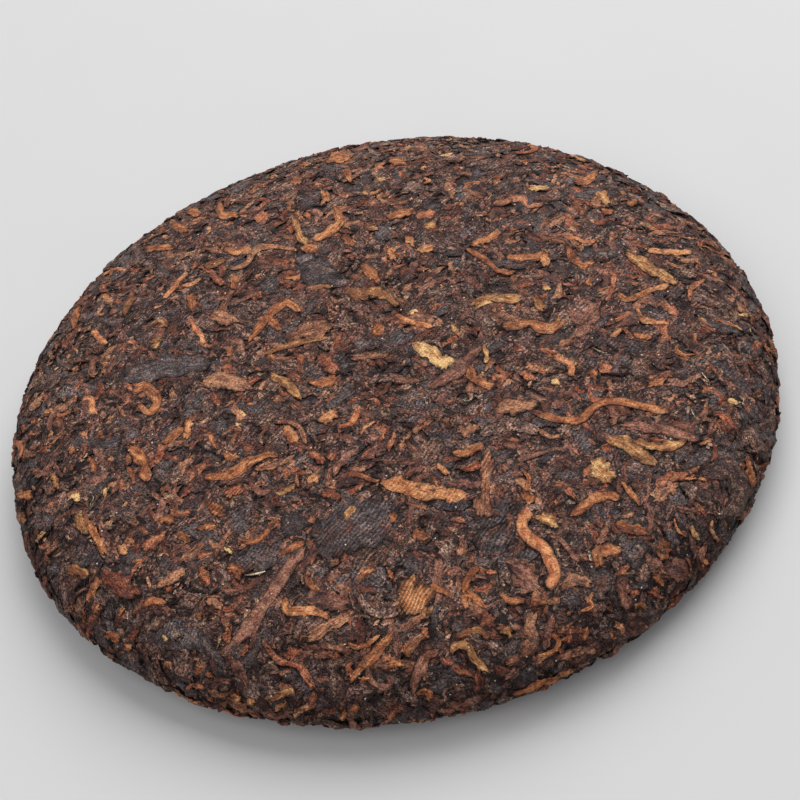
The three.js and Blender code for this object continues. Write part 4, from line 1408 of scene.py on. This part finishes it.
def shifted_vector(tree, vector, factor, shift):
    """A vector times a plain number, plus another vector or value, by its output."""
    node = tree.nodes.new("ShaderNodeVectorMath")
    node.operation = "MULTIPLY_ADD"
    node.inputs[1].default_value = (factor, factor, factor)
    tree.links.new(vector, node.inputs[0])
    tree.links.new(shift, node.inputs[2])
    return node.outputs[0]


def steep(tree, value, low, high, curve="SMOOTHSTEP"):
    """A value turned into a mask that goes from 0 at low to 1 at high."""
    node = tree.nodes.new("ShaderNodeMapRange")
    node.interpolation_type = curve
    node.inputs["From Min"].default_value = low
    node.inputs["From Max"].default_value = high
    tree.links.new(value, node.inputs["Value"])
    return node.outputs[0]


def voronoi_node(tree, vector, scale, feature="F1"):
    """A pattern of cells read at a vector, as its node."""
    node = tree.nodes.new("ShaderNodeTexVoronoi")
    node.feature = feature
    node.inputs["Scale"].default_value = scale
    tree.links.new(vector, node.inputs["Vector"])
    return node


def mixed(tree, factor, first, second, blend="MIX"):
    """Two colours mixed by a mask, by the output."""
    node = tree.nodes.new("ShaderNodeMix")
    node.data_type = "RGBA"
    node.blend_type = blend
    for name, value in (("Factor", factor), ("A", first), ("B", second)):
        socket = next(s for s in node.inputs if s.name == name and s.enabled)
        if isinstance(value, bpy.types.NodeSocket):
            tree.links.new(value, socket)
        else:
            socket.default_value = value
    return next(s for s in node.outputs if s.enabled)


@functools.cache
def fibre_group():
    """Fine streaks that run along a leaf, and the grain of its skin."""
    tree, given, made = new_group(
        "Leaf Fibre",
        [
            ("Place", "NodeSocketVector", None),
            ("Tone", "NodeSocketFloat", 0.5),
            ("Streaks", "NodeSocketFloat", 0.35),
            ("Grain", "NodeSocketFloat", 0.3),
        ],
        [("Tone", "NodeSocketFloat"), ("Height", "NodeSocketFloat")],
    )
    place = given.outputs["Place"]
    streak = noise_node(tree, scaled_vector(tree, place, (0.45, 4.2, 9.0)), 1.0, 3.0, 0.65)
    patch = noise_node(tree, scaled_vector(tree, place, (0.6, 1.1, 5.0)), 1.0, 2.0)
    grain = noise_node(tree, place, 4.2, 2.0, 0.7)
    tone = given.outputs["Tone"]
    strengths = given.outputs["Streaks"], given.outputs["Grain"], 0.5
    for noise, strength in zip((streak, grain, patch), strengths):
        off = math_node(tree, "MULTIPLY_ADD", noise.outputs["Fac"], 4.0, -2.0)
        tone = math_node(tree, "MULTIPLY_ADD", off, strength, tone)
    skin = math_node(tree, "MULTIPLY", grain.outputs["Fac"], 0.5)
    height = math_node(tree, "MULTIPLY_ADD", streak.outputs["Fac"], 1.8, skin)
    tree.links.new(tone, made.inputs["Tone"])
    tree.links.new(height, made.inputs["Height"])
    return tree


@functools.cache
def bits_and_gap_shade_group():
    """Torn scraps of other leaves pressed into the skin, with thin dark gaps between them."""
    tree, given, made = new_group(
        "Pressed Bits",
        [
            ("Place", "NodeSocketVector", None),
            ("Colour", "NodeSocketColor", (0.5, 0.5, 0.5, 1)),
            ("Amount", "NodeSocketFloat", 0.6),
        ],
        [("Colour", "NodeSocketColor"), ("Height", "NodeSocketFloat")],
    )
    place = given.outputs["Place"]
    bend = noise_node(tree, place, 1.6, 2.0, 0.6)
    bent = shifted_vector(tree, bend.outputs["Color"], 1.1, place)
    stretched = scaled_vector(tree, bent, (0.62, 1.5, 1.0))
    cells = voronoi_node(tree, stretched, 1.0)
    gaps = voronoi_node(tree, stretched, 1.0, "DISTANCE_TO_EDGE")
    chance = tree.nodes.new("ShaderNodeSeparateColor")
    tree.links.new(cells.outputs["Color"], chance.inputs["Color"])
    ramp = tree.nodes.new("ShaderNodeValToRGB")
    ramp.color_ramp.interpolation = "CONSTANT"
    ramp.color_ramp.elements.remove(ramp.color_ramp.elements[1])
    for start, code in BIT_COLOURS:
        element = ramp.color_ramp.elements.new(start) if start else ramp.color_ramp.elements[0]
        element.color = solid(code)
    tree.links.new(chance.outputs[0], ramp.inputs["Fac"])
    share = math_node(tree, "MULTIPLY_ADD", chance.outputs[1], 1.2, -0.2)
    share = math_node(tree, "MULTIPLY", share, given.outputs["Amount"], clamp=True)
    colour = mixed(tree, share, given.outputs["Colour"], ramp.outputs["Color"])
    # The thin gaps between the scraps are bumped down and painted darker: painted shade in the gaps
    gap = steep(tree, math_node(tree, "SUBTRACT", 0.0, gaps.outputs["Distance"]), -0.12, -0.03)
    darkening = math_node(tree, "MULTIPLY", given.outputs["Amount"], 0.9)
    dark = math_node(tree, "MULTIPLY", gap, darkening, clamp=True)
    colour = mixed(tree, dark, colour, solid(PAINTED_SHADE_COLOUR))
    tree.links.new(colour, made.inputs["Colour"])
    height = math_node(tree, "MULTIPLY_ADD", chance.outputs[2], 0.8, math_node(tree, "MULTIPLY", gap, -1.5))
    tree.links.new(math_node(tree, "MULTIPLY", height, given.outputs["Amount"]), made.inputs["Height"])
    return tree


@functools.cache
def imprint_group():
    """The lines that the pressing cloth leaves on whatever lies at the pressed level."""
    tree, given, made = new_group(
        "Cloth Imprint",
        [
            ("Colour", "NodeSocketColor", (0.5, 0.5, 0.5, 1)),
            ("Depth", "NodeSocketFloat", 0.0),
            ("Amount", "NodeSocketFloat", 1.0),
        ],
        [("Colour", "NodeSocketColor"), ("Height", "NodeSocketFloat")],
    )
    spot = tree.nodes.new("ShaderNodeTexCoord").outputs["Object"]
    drift = noise_node(tree, spot, THREAD_DRIFT_SCALE, 1.0)
    waves = []
    for turn, period, strength in CLOTH_THREADS:
        across = tree.nodes.new("ShaderNodeVectorMath")
        across.operation = "DOT_PRODUCT"
        across.inputs[1].default_value = (-math.sin(turn) / MM / period, math.cos(turn) / MM / period, 0)
        tree.links.new(spot, across.inputs[0])
        bent = math_node(tree, "MULTIPLY_ADD", drift.outputs["Fac"], 3.0, across.outputs["Value"])
        wave = math_node(tree, "SINE", math_node(tree, "MULTIPLY", bent, FULL_TURN))
        waves.append(math_node(tree, "MULTIPLY", wave, strength))
    weave = math_node(tree, "ADD", waves[0], waves[1])
    patches = noise_node(tree, spot, PATCH_SCALE, 2.0)
    where = steep(tree, patches.outputs["Fac"], 0.34, 0.48, "LINEAR")
    level = steep(tree, given.outputs["Depth"], 0.5, 0.12, "LINEAR")
    mask = math_node(tree, "MULTIPLY", where, level)
    mask = math_node(tree, "MULTIPLY", mask, given.outputs["Amount"], clamp=True)
    height = math_node(tree, "MULTIPLY", weave, mask)
    # Painted highlight and shade: the colour is made lighter on the weave's ridges and darker in its grooves
    lit = tree.nodes.new("ShaderNodeVectorMath")
    lit.operation = "SCALE"
    tree.links.new(given.outputs["Colour"], lit.inputs[0])
    tree.links.new(math_node(tree, "MULTIPLY_ADD", height, 0.4, 1.0), lit.inputs["Scale"])
    tree.links.new(lit.outputs[0], made.inputs["Colour"])
    tree.links.new(height, made.inputs["Height"])
    return tree


@functools.cache
def dust_and_shade_group():
    """What runs across all the leaves alike: stains, pits, coloured grains, pale specks and dark crevices."""
    tree, given, made = new_group(
        "Tea Dust",
        [
            ("Colour", "NodeSocketColor", (0.5, 0.5, 0.5, 1)),
            ("Edge", "NodeSocketFloat", 0.0),
            ("Depth", "NodeSocketFloat", 0.0),
            ("Stain", "NodeSocketFloat", 0.5),
            ("Grains", "NodeSocketFloat", 0.7),
        ],
        [("Colour", "NodeSocketColor"), ("Height", "NodeSocketFloat")],
    )
    spot = tree.nodes.new("ShaderNodeTexCoord").outputs["Object"]
    stain = noise_node(tree, spot, STAIN_SCALE, 3.0, 0.6)
    hue = noise_node(tree, spot, HUE_SCALE, 2.0, 0.6)
    stain_colour = mixed(tree, steep(tree, hue.outputs["Fac"], 0.42, 0.58), *map(solid, STAIN_COLOURS))
    mask = math_node(tree, "MULTIPLY", steep(tree, stain.outputs["Fac"], 0.47, 0.64), given.outputs["Stain"])
    colour = mixed(tree, mask, given.outputs["Colour"], stain_colour)

    grains = noise_node(tree, spot, GRAIN_SCALE, 1.0, 0.7)
    grey = math_node(tree, "MULTIPLY_ADD", grains.outputs["Fac"], 5.6, -2.32)
    grain_colour = shifted_vector(tree, grains.outputs["Color"], 1.2, grey)
    colour = mixed(tree, given.outputs["Grains"], colour, grain_colour, "MULTIPLY")

    # Painted shade: pits, places below the pressed level and leaf edges are darkened towards the painted
    # shade colour
    pits = noise_node(tree, spot, PIT_SCALE, 3.0, 0.7)
    pit = steep(tree, pits.outputs["Fac"], 0.54, 0.64)
    deep = math_node(tree, "MULTIPLY", math_node(tree, "POWER", given.outputs["Depth"], 1.3), 0.45)
    # Painted shade along leaf edges, where the gaps between leaves lie; torn picks the patches of edge that
    # get it
    torn = math_node(tree, "MULTIPLY", steep(tree, hue.outputs["Fac"], 0.36, 0.54), 1.2)
    side = math_node(tree, "MULTIPLY", math_node(tree, "POWER", given.outputs["Edge"], 4.0), torn)
    low = math_node(tree, "MULTIPLY_ADD", pit, 0.45, math_node(tree, "ADD", deep, side))
    shade = math_node(tree, "MULTIPLY", low, math_node(tree, "ADD", stain.outputs["Fac"], 0.4), clamp=True)
    colour = mixed(tree, shade, colour, solid(PAINTED_SHADE_COLOUR))

    # Pale specks, shading from pale gold crumbs to whitish grey painted glints
    seeds = voronoi_node(tree, spot, SPECK_SCALE)
    chance = tree.nodes.new("ShaderNodeSeparateColor")
    tree.links.new(seeds.outputs["Color"], chance.inputs["Color"])
    near = steep(tree, math_node(tree, "SUBTRACT", 0.0, seeds.outputs["Distance"]), -0.13, -0.07)
    speck = math_node(tree, "MULTIPLY", near, steep(tree, chance.outputs[0], 0.8, 0.86))
    speck_and_glint_colour = mixed(tree, chance.outputs[1], *map(solid, SPECK_AND_GLINT_COLOURS))
    colour = mixed(tree, speck, colour, speck_and_glint_colour)
    tree.links.new(colour, made.inputs["Colour"])
    raised = math_node(tree, "MULTIPLY", grains.outputs["Fac"], 1.6)
    height = math_node(tree, "MULTIPLY_ADD", pit, -1.0, raised)
    tree.links.new(height, made.inputs["Height"])
    return tree


def place_group(tree, group, **values):
    """A node group in a material, with its own values or the sockets that feed it."""
    node = tree.nodes.new("ShaderNodeGroup")
    node.node_tree = group
    for name, value in values.items():
        if isinstance(value, bpy.types.NodeSocket):
            tree.links.new(value, node.inputs[name])
        else:
            node.inputs[name].default_value = value
    return node


def field_socket(tree, field, output="Fac"):
    """The output of an attribute that the mesh carries."""
    node = tree.nodes.new("ShaderNodeAttribute")
    node.attribute_name = field
    return node.outputs[output]


def leaf_material(kind, settings):
    """The skin of one kind of leaf."""
    material, tree, surface = new_material(kind.name)
    depth = field_socket(tree, "leaf_depth")
    fibre = place_group(
        tree,
        fibre_group(),
        Place=field_socket(tree, "leaf_place", "Vector"),
        Tone=field_socket(tree, "leaf_tone"),
        Streaks=kind.streaks,
        Grain=kind.grain,
    )
    ramp = tree.nodes.new("ShaderNodeValToRGB")
    ramp.color_ramp.elements[0].color = (*settings.dark, 1)
    ramp.color_ramp.elements[0].position = 0.0
    ramp.color_ramp.elements[1].color = (*settings.light, 1)
    ramp.color_ramp.elements[1].position = 1.0
    ramp.color_ramp.elements.new(0.5).color = (*settings.middle, 1)
    tree.links.new(fibre.outputs["Tone"], ramp.inputs["Fac"])
    bits = place_group(
        tree,
        bits_and_gap_shade_group(),
        Place=field_socket(tree, "leaf_place", "Vector"),
        Colour=ramp.outputs["Color"],
        Amount=kind.bits,
    )
    # Edge and Depth set how much painted shade falls along the leaf's edges and below the pressed level
    dust = place_group(
        tree,
        dust_and_shade_group(),
        Colour=bits.outputs["Colour"],
        Edge=field_socket(tree, "leaf_edge"),
        Depth=depth,
        Stain=kind.stain,
        Grains=kind.grains,
    )
    imprint = place_group(
        tree,
        imprint_group(),
        Colour=dust.outputs["Colour"],
        Depth=depth,
        Amount=field_socket(tree, "leaf_imprint"),
    )
    tree.links.new(imprint.outputs["Colour"], surface.inputs["Base Color"])
    rough = math_node(tree, "MULTIPLY_ADD", fibre.outputs["Height"], 0.3, kind.roughness - 0.3)
    tree.links.new(rough, surface.inputs["Roughness"])
    surface.inputs["Specular IOR Level"].default_value = kind.gloss
    relief = math_node(tree, "MULTIPLY_ADD", imprint.outputs["Height"], 0.7, fibre.outputs["Height"])
    relief = math_node(tree, "ADD", relief, dust.outputs["Height"])
    relief = math_node(tree, "ADD", relief, bits.outputs["Height"])
    add_relief(tree, surface, relief, 0.9, 0.17)
    return material


def core_material(cake):
    """The dark dust and crumbs between the leaves."""
    material, tree, surface = new_material("pressed_core")
    spot = tree.nodes.new("ShaderNodeTexCoord").outputs["Object"]
    grit = noise_node(tree, spot, CORE_GRIT_SCALE, 3.0, 0.7)
    ramp = tree.nodes.new("ShaderNodeValToRGB")
    ramp.color_ramp.elements[0].position = 0.35
    ramp.color_ramp.elements[0].color = (*(part * 0.5 for part in cake.core_colour), 1)
    ramp.color_ramp.elements[1].position = 0.7
    ramp.color_ramp.elements[1].color = (*(part * 2.2 for part in cake.core_colour), 1)
    tree.links.new(grit.outputs["Fac"], ramp.inputs["Fac"])
    in_mm = scaled_vector(tree, spot, (1 / MM, 1 / MM, 1 / MM))
    bits = place_group(tree, bits_and_gap_shade_group(), Place=in_mm, Colour=ramp.outputs["Color"], Amount=0.9)
    # Edge and Depth are fixed, so the whole core gets an even painted shade
    dust = place_group(tree, dust_and_shade_group(), Colour=bits.outputs["Colour"], Edge=0.3, Depth=0.35, Stain=0.8)
    tree.links.new(dust.outputs["Colour"], surface.inputs["Base Color"])
    surface.inputs["Roughness"].default_value = 0.75
    surface.inputs["Specular IOR Level"].default_value = 0.2
    relief = math_node(tree, "ADD", dust.outputs["Height"], bits.outputs["Height"])
    add_relief(tree, surface, relief, 0.8, 0.15)
    return material


def floor_material(stage):
    """Plain pale paper with the faintest mottling."""
    material, tree, surface = new_material("stage_floor")
    spot = tree.nodes.new("ShaderNodeTexCoord").outputs["Object"]
    mottle = noise_node(tree, spot, 40.0, 2.0)
    ramp = tree.nodes.new("ShaderNodeValToRGB")
    ramp.color_ramp.elements[0].color = (*(part * 0.97 for part in stage.floor_colour), 1)
    ramp.color_ramp.elements[1].color = (*stage.floor_colour, 1)
    tree.links.new(mottle.outputs["Fac"], ramp.inputs["Fac"])
    tree.links.new(ramp.outputs["Color"], surface.inputs["Base Color"])
    surface.inputs["Roughness"].default_value = 0.9
    return material


# Operators

# Where the lamps stand, in metres, and the tint of the sky
OVERHEAD_LAMP = Vector((0.3, 0.45, 0.75))
FRONT_LAMP = Vector((-0.35, -0.45, 0.8))
SKY_COLOUR = (1.0, 0.975, 1.03, 1)


class LayLeaves:
    """What the operators that press one kind of leaf into the cake share."""

    kind = ""

    def execute(self, context):
        kind = KINDS[self.kind]
        leaf_piece(kind, leaf_material(kind, getattr(context.scene.tea_cake, kind.name)))
        return {"FINISHED"}


class TEACAKE_OT_core(bpy.types.Operator):
    """Makes the body of dust and crumbs under the leaves"""

    bl_idname = "tea_cake.core"
    bl_label = "Core"

    def execute(self, context):
        cake = context.scene.tea_cake.cake
        core_piece(cake, core_material(cake))
        return {"FINISHED"}


class TEACAKE_OT_bedding_leaves(LayLeaves, bpy.types.Operator):
    """Presses in the broad dull leaves that fill the cake"""

    bl_idname = "tea_cake.bedding_leaves"
    bl_label = "Bedding leaves"
    kind = "bedding_leaves"


class TEACAKE_OT_charcoal_flakes(LayLeaves, bpy.types.Operator):
    """Presses in the broad blue-black flakes"""

    bl_idname = "tea_cake.charcoal_flakes"
    bl_label = "Charcoal flakes"
    kind = "charcoal_flakes"


class TEACAKE_OT_umber_flakes(LayLeaves, bpy.types.Operator):
    """Presses in the flat grey-brown flakes"""

    bl_idname = "tea_cake.umber_flakes"
    bl_label = "Umber flakes"
    kind = "umber_flakes"


class TEACAKE_OT_plum_strips(LayLeaves, bpy.types.Operator):
    """Presses in the long dark rolled leaves"""

    bl_idname = "tea_cake.plum_strips"
    bl_label = "Plum strips"
    kind = "plum_strips"


class TEACAKE_OT_brown_strips(LayLeaves, bpy.types.Operator):
    """Presses in the brown rolled leaves"""

    bl_idname = "tea_cake.brown_strips"
    bl_label = "Brown strips"
    kind = "brown_strips"


class TEACAKE_OT_red_bits(LayLeaves, bpy.types.Operator):
    """Presses in the short red-brown scraps"""

    bl_idname = "tea_cake.red_bits"
    bl_label = "Red bits"
    kind = "red_bits"


class TEACAKE_OT_orange_strips(LayLeaves, bpy.types.Operator):
    """Presses in the orange tips and twisted strips"""

    bl_idname = "tea_cake.orange_strips"
    bl_label = "Orange strips"
    kind = "orange_strips"


class TEACAKE_OT_straw_bits(LayLeaves, bpy.types.Operator):
    """Presses in the golden buds and straw-coloured scraps"""

    bl_idname = "tea_cake.straw_bits"
    bl_label = "Straw bits"
    kind = "straw_bits"


class TEACAKE_OT_stems(LayLeaves, bpy.types.Operator):
    """Presses in the smooth round stems"""

    bl_idname = "tea_cake.stems"
    bl_label = "Stems"
    kind = "stems"


class TEACAKE_OT_crumbs(LayLeaves, bpy.types.Operator):
    """Presses crumbs of leaf into the gaps"""

    bl_idname = "tea_cake.crumbs"
    bl_label = "Crumbs"
    kind = "crumbs"


class TEACAKE_OT_orange_crumbs(LayLeaves, bpy.types.Operator):
    """Presses in the small bright crumbs"""

    bl_idname = "tea_cake.orange_crumbs"
    bl_label = "Orange crumbs"
    kind = "orange_crumbs"


class TEACAKE_OT_fibres(LayLeaves, bpy.types.Operator):
    """Lays the pale threads on top"""

    bl_idname = "tea_cake.fibres"
    bl_label = "Fibres"
    kind = "fibres"


class TEACAKE_OT_stage(bpy.types.Operator):
    """Sets the pale floor, the soft lamps and the photograph's camera"""

    bl_idname = "tea_cake.stage"
    bl_label = "Stage"

    def execute(self, context):
        stage = context.scene.tea_cake.stage
        self.set_floor(context, stage)
        self.set_light(context, stage)
        self.set_camera(context)
        return {"FINISHED"}

    def set_floor(self, context, stage):
        half = stage.floor_size / 2
        mesh = bpy.data.meshes.new("floor")
        corners = [(-half, -half, 0), (half, -half, 0), (half, half, 0), (-half, half, 0)]
        mesh.from_pydata(corners, [], [(0, 1, 2, 3)])
        mesh.materials.append(floor_material(stage))
        floor = bpy.data.objects.new("floor", mesh)
        context.scene.collection.objects.link(floor)

    def set_light(self, context, stage):
        world = bpy.data.worlds.new("soft_sky")
        world.use_nodes = True
        sky = world.node_tree.nodes["Background"]
        sky.inputs["Color"].default_value = SKY_COLOUR
        sky.inputs["Strength"].default_value = stage.sky_strength
        context.scene.world = world
        self.add_lamp(context, "overhead_lamp", OVERHEAD_LAMP, stage.lamp_size, stage.lamp_power)
        self.add_lamp(context, "front_lamp", FRONT_LAMP, stage.lamp_size, stage.fill_power)
        context.scene.view_settings.view_transform = "Standard"

    def add_lamp(self, context, name, place, size, power):
        data = bpy.data.lights.new(name, "AREA")
        data.size = size
        data.energy = power
        lamp = bpy.data.objects.new(name, data)
        lamp.location = place
        lamp.rotation_euler = place.to_track_quat("Z", "Y").to_euler()
        context.scene.collection.objects.link(lamp)

    def set_camera(self, context):
        spot, right, above, back = camera_axes()
        data = bpy.data.cameras.new("photo_camera")
        data.sensor_width = SENSOR_WIDTH
        data.lens = SENSOR_WIDTH * FOCAL_PIXELS / FRAME_PIXELS
        data.clip_start = 0.01
        camera = bpy.data.objects.new("photo_camera", data)
        rows = [(*row, place * MM) for row, place in zip(np.stack([right, above, back], 1), spot)]
        camera.matrix_world = Matrix([*rows, (0, 0, 0, 1)])
        context.scene.collection.objects.link(camera)
        context.scene.camera = camera


OPERATORS = (
    TEACAKE_OT_core,
    TEACAKE_OT_bedding_leaves,
    TEACAKE_OT_charcoal_flakes,
    TEACAKE_OT_umber_flakes,
    TEACAKE_OT_plum_strips,
    TEACAKE_OT_brown_strips,
    TEACAKE_OT_red_bits,
    TEACAKE_OT_orange_strips,
    TEACAKE_OT_straw_bits,
    TEACAKE_OT_stems,
    TEACAKE_OT_crumbs,
    TEACAKE_OT_orange_crumbs,
    TEACAKE_OT_fibres,
    TEACAKE_OT_stage,
)


class TEACAKE_PT_panel(bpy.types.Panel):
    """Lists the steps and what can be changed"""

    bl_idname = "TEACAKE_PT_panel"
    bl_label = "Pressed tea cake"
    bl_space_type = "VIEW_3D"
    bl_region_type = "UI"
    bl_category = "Tea Cake"

    def draw(self, context):
        settings = context.scene.tea_cake
        for operator in OPERATORS:
            self.layout.operator(operator.bl_idname)
        for part in ("cake", "stage", *KINDS):
            box = self.layout.box()
            box.label(text=part.replace("_", " ").capitalize())
            group = getattr(settings, part)
            for name in group.__annotations__:
                box.prop(group, name)


SETTINGS = (*KIND_SETTINGS.values(), CakeSettings, StageSettings, TeaCakeSettings)
CLASSES = (*SETTINGS, *OPERATORS, TEACAKE_PT_panel)


def register():
    for cls in CLASSES:
        bpy.utils.register_class(cls)
    bpy.types.Scene.tea_cake = PointerProperty(type=TeaCakeSettings)


def unregister():
    del bpy.types.Scene.tea_cake
    for cls in reversed(CLASSES):
        bpy.utils.unregister_class(cls)


def main():
    register()
    for operator in OPERATORS:
        group, name = operator.bl_idname.split(".")
        getattr(getattr(bpy.ops, group), name)()


if __name__ == "__main__":
    main()
